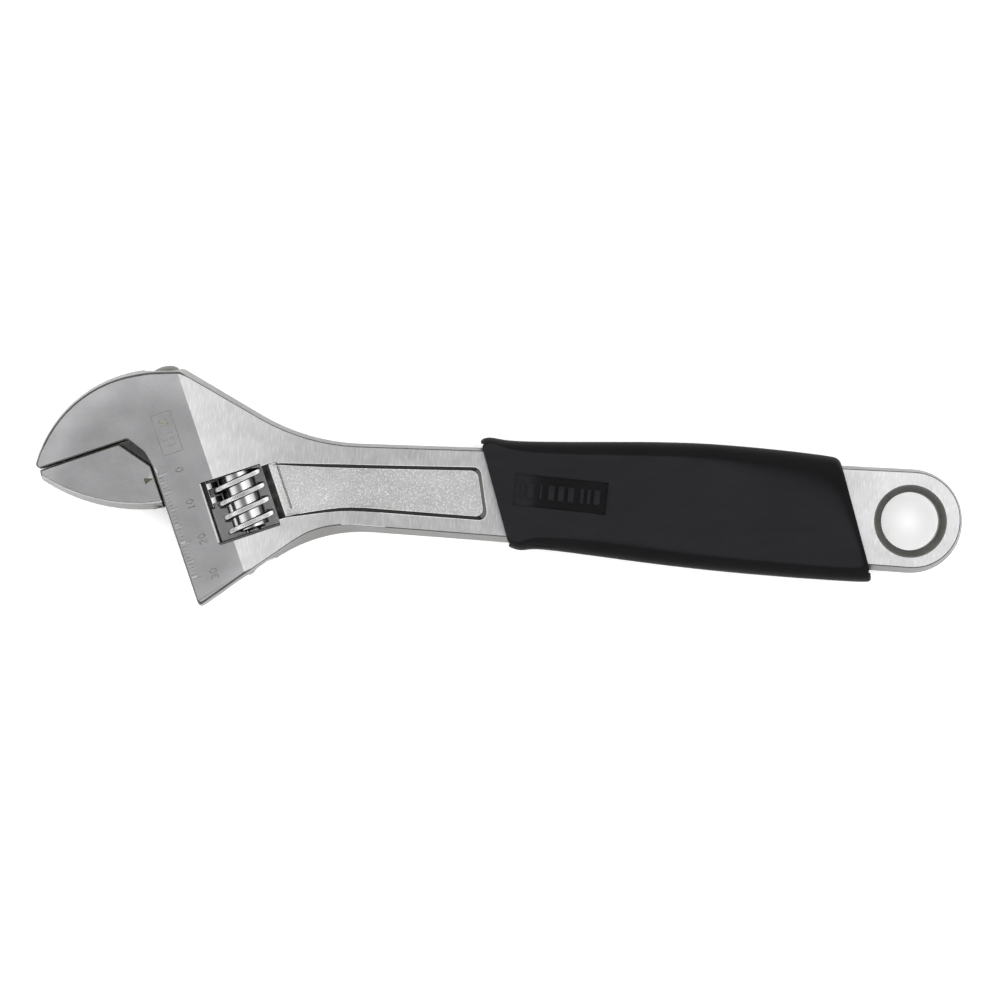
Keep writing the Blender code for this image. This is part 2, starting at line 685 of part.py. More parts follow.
def stand_on_origin(root):
    """Moves the root so that the bounding box's lowest middle point is the world's origin."""
    bpy.context.view_layer.update()
    graph = bpy.context.evaluated_depsgraph_get()
    pieces = [made for made in bpy.data.objects if made.type == "MESH" and not made.hide_render]
    points = []
    for piece in pieces:
        shown = piece.evaluated_get(graph)
        points += [shown.matrix_world @ vertex.co for vertex in shown.to_mesh().vertices]
        shown.to_mesh_clear()
    low = [min(point[k] for point in points) for k in range(3)]
    high = [max(point[k] for point in points) for k in range(3)]
    root.location = (-(low[0] + high[0]) / 2, -(low[1] + high[1]) / 2, -low[2])


def main():
    for old in list(bpy.data.objects):
        bpy.data.objects.remove(old)
    root = empty("wrench", (0, 0, 0), (0, 0, 0))
    satin = metal("satin_steel", (0.62, 0.62, 0.63), 0.35)
    polished = metal("polished_steel", (0.75, 0.75, 0.76), 0.2)
    build_body(root, satin)
    build_sliding_jaw(root, satin)
    build_worm_set(root, polished, polished)
    build_grip(root, rubber())
    stand_on_origin(root)


main()
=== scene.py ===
"""The looks of the adjustable wrench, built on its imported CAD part.

Every piece keeps the place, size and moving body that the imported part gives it. Two frames help to
place detail. The jaw frame starts at the throat, where the fixed jaw's clamping face meets the slide
edge: `a` runs along that face towards the handle and `b` runs the way the jaw closes. The handle
frame starts at the hang hole, with x along the handle. Sizes are in millimetres unless a name says
otherwise, and meshes are in metres.
"""

from __future__ import annotations

import json
import logging
import math
from contextlib import contextmanager
from dataclasses import dataclass, field
from enum import Enum
from typing import Callable, Iterator, Sequence

import bmesh
import bpy
from mathutils import Matrix, Vector

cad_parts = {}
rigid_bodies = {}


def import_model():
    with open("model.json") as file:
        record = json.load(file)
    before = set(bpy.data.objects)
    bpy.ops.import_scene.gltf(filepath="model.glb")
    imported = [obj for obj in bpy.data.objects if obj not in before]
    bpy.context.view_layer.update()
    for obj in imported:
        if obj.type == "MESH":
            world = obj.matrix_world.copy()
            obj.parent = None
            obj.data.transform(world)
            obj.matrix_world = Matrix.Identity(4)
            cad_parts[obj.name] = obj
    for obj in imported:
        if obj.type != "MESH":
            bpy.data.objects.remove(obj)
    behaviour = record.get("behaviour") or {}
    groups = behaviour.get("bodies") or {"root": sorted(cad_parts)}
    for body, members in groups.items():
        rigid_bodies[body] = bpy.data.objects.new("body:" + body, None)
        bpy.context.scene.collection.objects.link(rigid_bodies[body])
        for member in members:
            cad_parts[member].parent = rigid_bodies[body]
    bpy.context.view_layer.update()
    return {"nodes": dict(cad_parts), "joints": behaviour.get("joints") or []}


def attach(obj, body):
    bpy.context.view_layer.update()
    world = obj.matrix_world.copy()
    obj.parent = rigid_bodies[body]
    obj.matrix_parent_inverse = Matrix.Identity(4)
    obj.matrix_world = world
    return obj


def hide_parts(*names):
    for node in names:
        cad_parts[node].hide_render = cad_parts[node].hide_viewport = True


FRAME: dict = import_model()
MM: float = 0.001
LOG: logging.Logger = logging.getLogger("wrench")

# Faces are told apart by how level they are: the size of their normal's z part, from 0 to 1.
UPRIGHT: float = 0.05
SLOPING: float = 0.35
LEVEL: float = 0.995
DEAD_LEVEL: float = 0.999999
BROAD: float = 12  # the area from which a level face is shaded flat, in square millimetres
WELD: float = 2e-6  # vertices closer than this are one, in metres
CLOSE: float = 0.02  # how far a face's middle may be off the edge it belongs to, in millimetres
ON_PLANE: float = 0.000001  # vertices closer to a dividing plane than this lie in it, in metres


# ---------------------------------------------------------------- frames


@dataclass(frozen=True)
class WrenchFrames:
    """Finds the wrench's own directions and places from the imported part's joints.

    Attributes:
        worm_across: How far the worm's axis is from the throat, along the clamping face.
        worm_below: How far the worm's middle is below the throat, along the slide.
        throat_to_hole: How far the hang hole is from the throat, along the handle.
        throat_rise: How far the throat is above the handle's centreline.
    """

    worm_across: float = 20.6
    worm_below: float = 26.4
    throat_to_hole: float = 212.2
    throat_rise: float = 10.9

    @staticmethod
    def joint(name: str) -> dict:
        """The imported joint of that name."""
        return next(joint for joint in FRAME["joints"] if joint["name"] == name)

    @property
    def closing(self) -> Vector:
        """The direction in which the sliding jaw closes."""
        return -Vector(self.joint("jaw_slide")["axis"]).normalized()

    @property
    def along_face(self) -> Vector:
        """The direction along the clamping face, towards the handle."""
        return self.closing.cross(Vector((0.0, 0.0, 1.0)))

    @property
    def worm_centre(self) -> Vector:
        """The middle of the worm, in metres."""
        return Vector(self.joint("worm_spin")["pos_m"])

    @property
    def throat(self) -> Vector:
        """The jaw frame's origin, in metres."""
        across = self.along_face * self.worm_across
        return self.worm_centre + (self.closing * self.worm_below - across) * MM

    def jaw(self, a: float, b: float, z: float = 0.0) -> Vector:
        """A place in metres from jaw frame millimetres, z counted from the middle of the thickness."""
        return self.throat + (self.along_face * a + self.closing * b + Vector((0, 0, z))) * MM

    def handle(self, x: float, y: float, z: float = 0.0) -> Vector:
        """A place in metres from handle frame millimetres."""
        hole = self.throat + Vector((self.throat_to_hole, -self.throat_rise, 0)) * MM
        return hole + Vector((x, y, z)) * MM

    def in_jaw(self, place: Vector) -> Vector:
        """Jaw frame millimetres (a, b, z) of a place in metres."""
        offset = (place - self.throat) / MM
        return Vector((offset.dot(self.along_face), offset.dot(self.closing), offset.z))

    def in_handle(self, place: Vector) -> Vector:
        """Handle frame millimetres of a place in metres."""
        return (place - self.handle(0, 0)) / MM

    def jaw_turn(self) -> Matrix:
        """The turn that takes X to the clamping face's direction and Y to the closing one."""
        columns = (self.along_face, self.closing, Vector((0, 0, 1)))
        return Matrix(columns).transposed().to_4x4()

    def jaw_place(self, a: float, b: float, z: float = 0.0) -> Matrix:
        """Takes a tool made at the world's origin to a place in the jaw frame, turned with it."""
        return Matrix.Translation(self.jaw(a, b, z)) @ self.jaw_turn()


# ---------------------------------------------------------------- workbench


class Bench:
    """The hand tools: selecting, edit mode, modifiers, cutting and finishing."""

    @staticmethod
    def put_down() -> None:
        """Deselects everything."""
        for obj in bpy.context.view_layer.objects:
            obj.select_set(False)

    @classmethod
    def pick(cls, *pieces: bpy.types.Object) -> None:
        """Selects these pieces alone and makes the first one active.

        Args:
            *pieces: The pieces.
        """
        cls.put_down()
        for piece in pieces:
            piece.select_set(True)
        bpy.context.view_layer.objects.active = pieces[0]

    @classmethod
    @contextmanager
    def editing(cls, piece: bpy.types.Object) -> Iterator[bmesh.types.BMesh]:
        """Edit mode on one piece.

        Args:
            piece: The piece to shape.

        Returns:
            The edit mesh, for choosing parts of it in code.
        """
        cls.pick(piece)
        bpy.ops.object.mode_set(mode="EDIT")
        try:
            yield bmesh.from_edit_mesh(piece.data)
        finally:
            bpy.ops.object.mode_set(mode="OBJECT")

    @staticmethod
    def choose(piece: bpy.types.Object, kind: str, test: Callable[..., bool]) -> int:
        """Selects the vertices, edges or faces that pass a test, in edit mode.

        Args:
            piece: The piece in edit mode.
            kind: VERT, EDGE or FACE.
            test: Says of one of them whether it is wanted.

        Returns:
            How many were chosen.
        """
        mesh = bmesh.from_edit_mesh(piece.data)
        bpy.ops.mesh.select_mode(type=kind)
        bpy.ops.mesh.select_all(action="DESELECT")
        parts = {"VERT": mesh.verts, "EDGE": mesh.edges, "FACE": mesh.faces}[kind]
        chosen = [part for part in parts if test(part)]
        for part in chosen:
            part.select_set(True)
        if kind == "VERT":
            mesh.select_flush(True)
        bmesh.update_edit_mesh(piece.data)
        return len(chosen)

    @classmethod
    def copy_of(cls, node: str, name: str) -> bpy.types.Object:
        """A loose copy of a CAD node, its triangles merged and its flat faces joined.

        Args:
            node: The CAD node.
            name: The new piece's name.

        Returns:
            The new piece, at the origin.
        """
        piece = bpy.data.objects.new(name, FRAME["nodes"][node].data.copy())
        piece.data.name = name
        piece.data.materials.clear()
        bpy.context.scene.collection.objects.link(piece)
        with cls.editing(piece):
            bpy.ops.mesh.select_all(action="SELECT")
            bpy.ops.mesh.remove_doubles(threshold=WELD)
            bpy.ops.mesh.dissolve_limited(angle_limit=math.radians(0.2))
        return piece

    @classmethod
    def apply(cls, piece: bpy.types.Object, kind: str, **settings: object) -> None:
        """Adds a modifier to a piece and applies it.

        Args:
            piece: The piece.
            kind: The modifier's type.
            **settings: The modifier's own settings.
        """
        cls.pick(piece)
        modifier = piece.modifiers.new(kind.lower(), kind)
        for key, value in settings.items():
            setattr(modifier, key, value)
        bpy.ops.object.modifier_apply(modifier=modifier.name)

    @classmethod
    def combine(cls, piece: bpy.types.Object, tool: bpy.types.Object, operation: str) -> None:
        """Cuts, joins or keeps by another closed piece, which is used up.

        Args:
            piece: The piece that stays.
            tool: The piece that does the work.
            operation: DIFFERENCE, UNION or INTERSECT.
        """
        cls.apply(
            piece, "BOOLEAN", operation=operation, object=tool, solver="EXACT", material_mode="TRANSFER"
        )
        mesh = tool.data
        bpy.data.objects.remove(tool)
        if mesh.users == 0:
            bpy.data.meshes.remove(mesh)

    @classmethod
    def part(cls, piece: bpy.types.Object, place: Vector, normal: Sequence[float]) -> None:
        """Divides all the faces that cross a plane, along it.

        Args:
            piece: The piece.
            place: A place on the plane, in metres.
            normal: The way the plane faces.
        """
        with cls.editing(piece):
            bpy.ops.mesh.select_all(action="SELECT")
            bpy.ops.mesh.bisect(plane_co=place, plane_no=normal, threshold=ON_PLANE)

    @classmethod
    def cut_box(
        cls, piece: bpy.types.Object, size: Sequence[float], place: Matrix, fill: FillZone | None = None
    ) -> None:
        """Cuts a box out of a piece.

        Args:
            piece: The piece.
            size: The box's sides, in millimetres.
            place: Where its middle goes and how it is turned.
            fill: What fills the cut.
        """
        cls.put_down()
        bpy.ops.mesh.primitive_cube_add(size=1.0)
        box = bpy.context.active_object
        box.scale = tuple(side * MM for side in size)
        cls.settle(box)
        cls.settle(box, place)
        if fill is not None:
            box.data.materials.append(FINISHES[fill])
        cls.combine(piece, box, "DIFFERENCE")

    @classmethod
    def settle(cls, piece: bpy.types.Object, place: Matrix | None = None) -> None:
        """Moves a piece to its place and leaves its object at the origin, unturned and unscaled.

        Args:
            piece: The piece.
            place: Where it goes, on top of where it already is.
        """
        bpy.context.view_layer.update()
        if place is not None:
            piece.matrix_world = place @ piece.matrix_world
        cls.pick(piece)
        bpy.ops.object.transform_apply(location=True, rotation=True, scale=True)

    @classmethod
    def faces_out(cls, piece: bpy.types.Object) -> None:
        """Merges doubles and turns every face outwards.

        Args:
            piece: The piece.
        """
        with cls.editing(piece):
            bpy.ops.mesh.select_all(action="SELECT")
            bpy.ops.mesh.remove_doubles(threshold=1e-6)
            bpy.ops.mesh.normals_make_consistent(inside=False)

    @classmethod
    def smooth(cls, piece: bpy.types.Object, degrees: float = 30.0) -> None:
        """Shades a piece smooth except over edges sharper than this."""
        cls.pick(piece)
        bpy.ops.object.shade_smooth_by_angle(angle=math.radians(degrees))

    @classmethod
    def mark_edges(
        cls, piece: bpy.types.Object, width: float, test: Callable[[bmesh.types.BMEdge], bool]
    ) -> None:
        """Marks edges to be rounded, wider than they were marked before.

        Args:
            piece: The piece.
            width: How much wider, in millimetres.
            test: Says of an edge whether it is meant.
        """
        with cls.editing(piece):
            if cls.choose(piece, "EDGE", test):
                bpy.ops.transform.edge_bevelweight(value=width)

    @classmethod
    def round_marked(cls, piece: bpy.types.Object, segments: int = 2) -> None:
        """Rounds the marked edges of a piece, each as wide as it was marked.

        Args:
            piece: The piece.
            segments: Facets across the rounding.
        """
        cls.apply(
            piece,
            "BEVEL",
            width=MM,
            segments=segments,
            limit_method="WEIGHT",
            use_clamp_overlap=False,
            harden_normals=False,
            miter_outer="MITER_ARC",
        )

    @staticmethod
    def sharp(edge: bmesh.types.BMEdge, least: float = 24.0) -> bool:
        """Whether an edge of the plain metal is sharper than the least angle, in degrees."""
        plain = all(face.material_index == 0 for face in edge.link_faces)
        return plain and edge.is_manifold and edge.calc_face_angle(0.0) > math.radians(least)

    @staticmethod
    def middle(edge: bmesh.types.BMEdge) -> Vector:
        """The middle of an edge, in metres."""
        return (edge.verts[0].co + edge.verts[1].co) / 2

    @classmethod
    def even_shading(cls, piece: bpy.types.Object) -> None:
        """Keeps the broad level faces flat and lets large faces set the shading next to roundings.

        Args:
            piece: The piece.
        """
        for face in piece.data.polygons:
            if face.area > BROAD * MM * MM and abs(face.normal.z) > DEAD_LEVEL:
                face.use_smooth = False
        cls.apply(piece, "WEIGHTED_NORMAL", mode="FACE_AREA", weight=60, keep_sharp=True)


# ---------------------------------------------------------------- finishes


class Sketch:
    """A material's nodes, added one after the other."""

    def __init__(self, name: str) -> None:
        """Starts a material with its shader."""
        self.material: bpy.types.Material = bpy.data.materials.new(name)
        self.material.use_nodes = True
        self.tree: bpy.types.NodeTree = self.material.node_tree
        self.shader: bpy.types.Node = self.tree.nodes["Principled BSDF"]
        self.place: bpy.types.Node = self.node("ShaderNodeTexCoord")

    def node(self, kind: str, **settings: object) -> bpy.types.Node:
        """Adds a node and gives it its settings.

        Args:
            kind: The node's type.
            **settings: Its own settings.

        Returns:
            The node.
        """
        made = self.tree.nodes.new(kind)
        for key, value in settings.items():
            setattr(made, key, value)
        return made

    def link(self, source: bpy.types.NodeSocket, target: bpy.types.NodeSocket) -> None:
        """Joins two sockets."""
        self.tree.links.new(source, target)

    def stretched(self, grain: Sequence[float], turn: float = 0.0) -> bpy.types.NodeSocket:
        """Object coordinates measured in grains.

        Args:
            grain: The grain's length along each axis, in millimetres.
            turn: How far the grain is turned about Z, in degrees.

        Returns:
            The scaled coordinates.
        """
        turned = self.node("ShaderNodeMapping", vector_type="TEXTURE")
        turned.inputs["Rotation"].default_value = (0.0, 0.0, math.radians(turn))
        turned.inputs["Scale"].default_value = tuple(size * MM for size in grain)
        self.link(self.place.outputs["Object"], turned.inputs["Vector"])
        return turned.outputs["Vector"]

    def noise(
        self, at: bpy.types.NodeSocket, detail: float = 2.0, rough: float = 0.5
    ) -> bpy.types.NodeSocket:
        """A cloud of value noise, from 0 to 1.

        Args:
            at: The coordinates.
            detail: How many finer clouds are laid over it.
            rough: How strong the finer clouds are.

        Returns:
            The noise.
        """
        cloud = self.node("ShaderNodeTexNoise", noise_dimensions="3D")
        cloud.inputs["Scale"].default_value = 1.0
        cloud.inputs["Detail"].default_value = detail
        cloud.inputs["Roughness"].default_value = rough
        self.link(at, cloud.inputs["Vector"])
        return cloud.outputs["Fac"]

    def spread(
        self,
        value: bpy.types.NodeSocket,
        low: float,
        high: float,
        busy: Sequence[float] = (0.3, 0.7),
        kind: str = "LINEAR",
    ) -> bpy.types.NodeSocket:
        """Maps the busy middle of a value to a range of its own.

        Args:
            value: The value.
            low: What the middle's lower end becomes.
            high: What its upper end becomes.
            busy: The middle's ends.
            kind: The interpolation between them.

        Returns:
            The value in its new range.
        """
        ranged = self.node("ShaderNodeMapRange", clamp=True, interpolation_type=kind)
        for name, bound in zip(("From Min", "From Max", "To Min", "To Max"), (*busy, low, high)):
            ranged.inputs[name].default_value = bound
        self.link(value, ranged.inputs["Value"])
        return ranged.outputs["Result"]

    def reckon(self, operation: str, *terms: bpy.types.NodeSocket | float) -> bpy.types.NodeSocket:
        """A sum, product or other calculation.

        Args:
            operation: What the math node does.
            *terms: What goes in, in order: values and plain numbers.

        Returns:
            The result.
        """
        made = self.node("ShaderNodeMath", operation=operation)
        for entry, term in zip(made.inputs, terms):
            if isinstance(term, float):
                entry.default_value = term
            else:
                self.link(term, entry)
        return made.outputs["Value"]

    def rim(self, centre: Vector, inner: float, outer: float, gain: float) -> bpy.types.NodeSocket:
        """A value of 1 round a centre that grows outwards.

        Args:
            centre: The centre, in metres.
            inner: Radius where it starts to grow, in millimetres.
            outer: Radius where it stops.
            gain: How much it grows.

        Returns:
            The value.
        """
        reach = self.node("ShaderNodeVectorMath", operation="DISTANCE")
        reach.inputs[1].default_value = centre
        self.link(self.place.outputs["Object"], reach.inputs[0])
        distance = reach.outputs["Value"]
        return self.spread(distance, 1.0, 1.0 + gain, (inner * MM, outer * MM), "SMOOTHSTEP")

    def grey(self, value: bpy.types.NodeSocket, tint: Sequence[float]) -> bpy.types.NodeSocket:
        """A tint made lighter or darker by a value.

        Args:
            value: The value, 1 for the plain tint.
            tint: The tint's red, green and blue.

        Returns:
            The colour.
        """
        mixed = self.node("ShaderNodeMix", data_type="RGBA", blend_type="MULTIPLY")
        mixed.inputs["Factor"].default_value = 1.0
        mixed.inputs["A"].default_value = (*tint, 1.0)
        whole = self.node("ShaderNodeCombineColor")
        for channel in ("Red", "Green", "Blue"):
            self.link(value, whole.inputs[channel])
        self.link(whole.outputs["Color"], mixed.inputs["B"])
        return mixed.outputs["Result"]

    def relief(self, height: bpy.types.NodeSocket, depth: float, strength: float = 1.0) -> None:
        """Gives the shader a fine relief.

        Args:
            height: The height, from 0 to 1.
            depth: How deep it is, in millimetres.
            strength: How much of it shows.
        """
        bump = self.node("ShaderNodeBump")
        bump.inputs["Distance"].default_value = depth * MM
        bump.inputs["Strength"].default_value = strength
        self.link(height, bump.inputs["Height"])
        self.link(bump.outputs["Normal"], self.shader.inputs["Normal"])


@dataclass(frozen=True)
class SteelFinish:
    """Plated steel with a grain: ground, brushed, blasted or as forged.

    Attributes:
        name: The material's name.
        tint: Its colour.
        roughness: How blurred its reflections are.
        grain: The grain's length along x, y and z, in millimetres.
        turn: How far the grain is turned about Z, in degrees.
        depth: The grain's depth, in millimetres.
        fleck: How much lighter and darker single grains are.
        mottle: How much lighter and darker it gets from place to place.
        scatter: How much the roughness changes from place to place.
        sparkle: How much brighter the brightest grains are, as painted glints.
        coarse: Size of the places that differ, in millimetres.
        worn_rim: Radii between which the ground face is painted lighter round the head, for the light on
            its crowned rim, and by how much.
        head_centre: The middle of the head's round outline, in the handle frame.
        brightest: The part of the grain's noise in which the sparkle comes up.
    """

    name: str
    tint: tuple[float, float, float]
    roughness: float
    grain: tuple[float, float, float]
    turn: float = 0.0
    depth: float = 0.01
    fleck: float = 0.06
    mottle: float = 0.04
    scatter: float = 0.08
    sparkle: float = 0.0
    coarse: tuple[float, float, float] = (9.0, 7.0, 9.0)
    worn_rim: tuple[float, float, float] | None = None
    head_centre: tuple[float, float] = (-206.5, -5.9)
    brightest: tuple[float, float] = (0.55, 0.66)

    def material(self) -> bpy.types.Material:
        """Makes the finish as a material.

        Returns:
            The material.
        """
        sketch = Sketch(self.name)
        shader = sketch.shader
        shader.inputs["Metallic"].default_value = 1.0
        grain = sketch.noise(sketch.stretched(self.grain, self.turn), detail=1.5, rough=0.6)
        clouds = sketch.noise(sketch.stretched(self.coarse), detail=3.0)
        tone = sketch.reckon(
            "ADD",
            sketch.spread(grain, -self.fleck, self.fleck),
            sketch.spread(clouds, 1.0 - self.mottle, 1.0 + self.mottle),
        )
        # Painted glints: the brightest grains are lifted further.
        if self.sparkle > 0.0:
            tone = sketch.reckon("ADD", tone, sketch.spread(grain, 0.0, self.sparkle, self.brightest))
        # Painted light: the head's face gets lighter towards its outline, for the light on its crowned
        # rim.
        if self.worn_rim is not None:
            head = WrenchFrames().handle(*self.head_centre)
            tone = sketch.reckon("MULTIPLY", tone, sketch.rim(head, *self.worn_rim))
        sketch.link(sketch.grey(tone, self.tint), shader.inputs["Base Color"])
        blur = sketch.reckon(
            "ADD",
            sketch.spread(grain, -self.scatter / 2, self.scatter / 2),
            sketch.spread(clouds, self.roughness - self.scatter / 2, self.roughness + self.scatter / 2),
        )
        sketch.link(blur, shader.inputs["Roughness"])
        sketch.relief(grain, self.depth)
        return sketch.material


@dataclass(frozen=True)
class RubberFinish:
    """Moulded rubber with a fine matte skin, faint scuffs and painted shade down its sides.

    Attributes:
        name: The material's name.
        tint: Its colour.
        roughness: How blurred its reflections are.
        skin: The skin's grain, in millimetres.
        depth: The skin's depth, in millimetres.
        faces: Heights between which the broad faces' lighter tone comes in.
        belly: Where the sleeve is thickest along the handle, and how fast it thins from there.
        side_tone: How dark the sides are against the broad faces.
    """

    name: str
    tint: tuple[float, float, float]
    roughness: float
    skin: float = 0.25
    depth: float = 0.012
    # faces: Heights between which the painted side shade gives way to the broad faces' plain tone.
    faces: tuple[float, float] = (8.18, 8.36)
    belly: tuple[float, float] = (-56.0, 0.00042)
    # side_tone: How dark the painted shade makes the sides against the broad faces.
    side_tone: float = 0.36

    def material(self) -> bpy.types.Material:
        """Makes the finish as a material.

        Returns:
            The material.
        """
        sketch = Sketch(self.name)
        shader = sketch.shader
        shader.inputs["Specular IOR Level"].default_value = 0.05
        skin = sketch.noise(sketch.stretched((self.skin,) * 3), detail=2.0)
        scuffs = sketch.noise(sketch.stretched((14.0, 5.0, 8.0), 8.0), detail=4.0, rough=0.65)
        # Scuffs, times the painted shade down the sides.
        tone = sketch.reckon("MULTIPLY", sketch.spread(scuffs, 0.9, 1.1), self.handled(sketch))
        sketch.link(sketch.grey(tone, self.tint), shader.inputs["Base Color"])
        blur = sketch.reckon(
            "ADD",
            sketch.spread(skin, -0.04, 0.04),
            sketch.spread(scuffs, self.roughness + 0.05, self.roughness - 0.07),
        )
        sketch.link(blur, shader.inputs["Roughness"])
        sketch.relief(skin, self.depth)
        return sketch.material

    def handled(self, sketch: Sketch) -> bpy.types.NodeSocket:
        """A tone that is darker down the sides than on the broad faces, as painted shade.

        Args:
            sketch: The material being drawn.

        Returns:
            The tone.
        """
        split = sketch.node("ShaderNodeSeparateXYZ")
        sketch.link(sketch.place.outputs["Object"], split.inputs["Vector"])
        frames = WrenchFrames()
        fullest, taper = self.belly
        depth = sketch.reckon("SUBTRACT", split.outputs["Z"], frames.throat.z)
        height = sketch.reckon("ABSOLUTE", depth)
        along = sketch.reckon("SUBTRACT", split.outputs["X"], frames.handle(fullest, 0.0).x)
        squared = sketch.reckon("POWER", along, 2.0)
        levelled = sketch.reckon("MULTIPLY_ADD", squared, taper / MM, height)
        low, high = self.faces
        return sketch.spread(levelled, self.side_tone, 1.0, (low * MM, high * MM), "SMOOTHSTEP")


@dataclass(frozen=True)
class InkFinish:
    """Paint or scale in the bottom of an engraved mark.

    Attributes:
        name: The material's name.
        tint: Its colour.
        roughness: How blurred its reflections are.
    """

    name: str
    tint: tuple[float, float, float]
    roughness: float = 0.7

    def material(self) -> bpy.types.Material:
        """Makes the finish as a material.

        Returns:
            The material.
        """
        sketch = Sketch(self.name)
        patches = sketch.noise(sketch.stretched((0.5, 0.5, 0.5)), detail=3.0)
        tone = sketch.spread(patches, 0.6, 1.4)
        sketch.link(sketch.grey(tone, self.tint), sketch.shader.inputs["Base Color"])
        sketch.link(
            sketch.spread(patches, self.roughness - 0.1, self.roughness + 0.1),
            sketch.shader.inputs["Roughness"],
        )
        sketch.relief(patches, 0.02)
        return sketch.material


class SteelZone(Enum):
    """The finishes that the steel pieces carry, each on its own surfaces; several dark ones stand for
    painted shade.
    """

    GROUND = SteelFinish(
        "ground_face", (0.415, 0.415, 0.423), 0.34, (1.6, 0.16, 1.0), turn=-12.0,
        depth=0.0015, fleck=0.045, mottle=0.03, scatter=0.03, worn_rim=(26.0, 34.0, 0.34),
    )
    BRUSHED = SteelFinish(
        "brushed_shank", (0.56, 0.56, 0.566), 0.34, (0.26, 2.6, 1.5),
        depth=0.002, fleck=0.05, mottle=0.03, scatter=0.04, sparkle=0.10,
    )
    LUG = SteelFinish(
        "brushed_lug", (0.70, 0.70, 0.706), 0.34, (0.26, 2.6, 1.5),
        depth=0.002, fleck=0.05, mottle=0.05, scatter=0.04, sparkle=0.08,
    )
    BLASTED = SteelFinish(
        "blasted_panel", (0.50, 0.50, 0.498), 0.40, (0.34, 0.34, 0.34),
        depth=0.004, fleck=0.07, mottle=0.025, scatter=0.05, sparkle=0.42,
    )
    # Forged sides, their tint darkened further as painted shade on the upright faces.
    FORGED = SteelFinish(
        "forged_side_painted_shade", (0.155, 0.153, 0.148), 0.42, (0.8, 0.8, 0.5),
        depth=0.012, fleck=0.10, mottle=0.1, scatter=0.12, coarse=(4.0, 4.0, 4.0),
    )
    # Painted shade: near-black steel for recess and window walls, bores, gaps and the worm's flanks.
    SHADED = SteelFinish(
        "painted_shade_wall", (0.03, 0.0295, 0.028), 0.50, (0.6, 0.6, 0.6),
        depth=0.02, fleck=0.18, mottle=0.2, scatter=0.1, coarse=(3.0, 3.0, 3.0),
    )
    # Painted half shade: dark steel for the window's ramp, the hang hole's chamfer, the mouth, the
    # stem's end and the jaw's roundings that face the closing side.
    RAMP = SteelFinish(
        "painted_half_shade_face", (0.13, 0.128, 0.12), 0.45, (0.5, 0.5, 0.5),
        depth=0.02, fleck=0.12, mottle=0.1, scatter=0.1, coarse=(5.0, 5.0, 5.0),
    )
    CREST = SteelFinish(
        "knurled_crest", (0.60, 0.60, 0.60), 0.38, (0.3, 0.3, 0.3),
        depth=0.006, fleck=0.08, mottle=0.06, scatter=0.1,
    )
    POLISHED = SteelFinish(
        "polished_steel", (0.46, 0.46, 0.465), 0.20, (0.9, 0.9, 0.15),
        depth=0.002, fleck=0.04, mottle=0.05, scatter=0.06,
    )
    # Painted shade: near-black steel for the dark lines along the outline's roundings and the window's
    # foot.
    EDGE = SteelFinish(
        "painted_dark_edge", (0.075, 0.074, 0.071), 0.48, (0.6, 0.6, 0.6),
        depth=0.01, fleck=0.12, mottle=0.25, scatter=0.1, coarse=(2.5, 2.5, 2.5),
    )
    BEVEL = SteelFinish(
        "broken_edge", (0.36, 0.36, 0.364), 0.32, (0.5, 0.5, 0.5),
        depth=0.003, fleck=0.05, mottle=0.12, scatter=0.08, coarse=(2.0, 2.0, 2.0),
    )


class FillZone(Enum):
    """What fills the engraved marks."""

    SCALE = InkFinish("etched_scale", (0.19, 0.182, 0.165))
    POINTER = InkFinish("pointer_fill", (0.052, 0.049, 0.028))


FINISHES: dict[Enum, bpy.types.Material] = {}


def paint(
    piece: bpy.types.Object,
    zones: Sequence[SteelZone],
    zone_of: Callable[[Vector, Vector], SteelZone],
    fill: FillZone | None = None,
) -> None:
    """Gives each face of a piece the finish of the zone it lies in.

    Args:
        piece: The piece.
        zones: The zones it has.
        zone_of: Says the zone of a face from its middle and its normal.
        fill: What fills its engraved marks, whose faces carry that material already.
    """
    filled = -1 if fill is None else piece.data.materials.find(FINISHES[fill].name)
    marks = {face.index for face in piece.data.polygons if face.material_index == filled}
    piece.data.materials.clear()
    for zone in zones:
        piece.data.materials.append(FINISHES[zone])
    if fill is not None:
        piece.data.materials.append(FINISHES[fill])
    for face in piece.data.polygons:
        marked = face.index in marks
        face.material_index = len(zones) if marked else zones.index(zone_of(face.center, face.normal))


# ---------------------------------------------------------------- forging


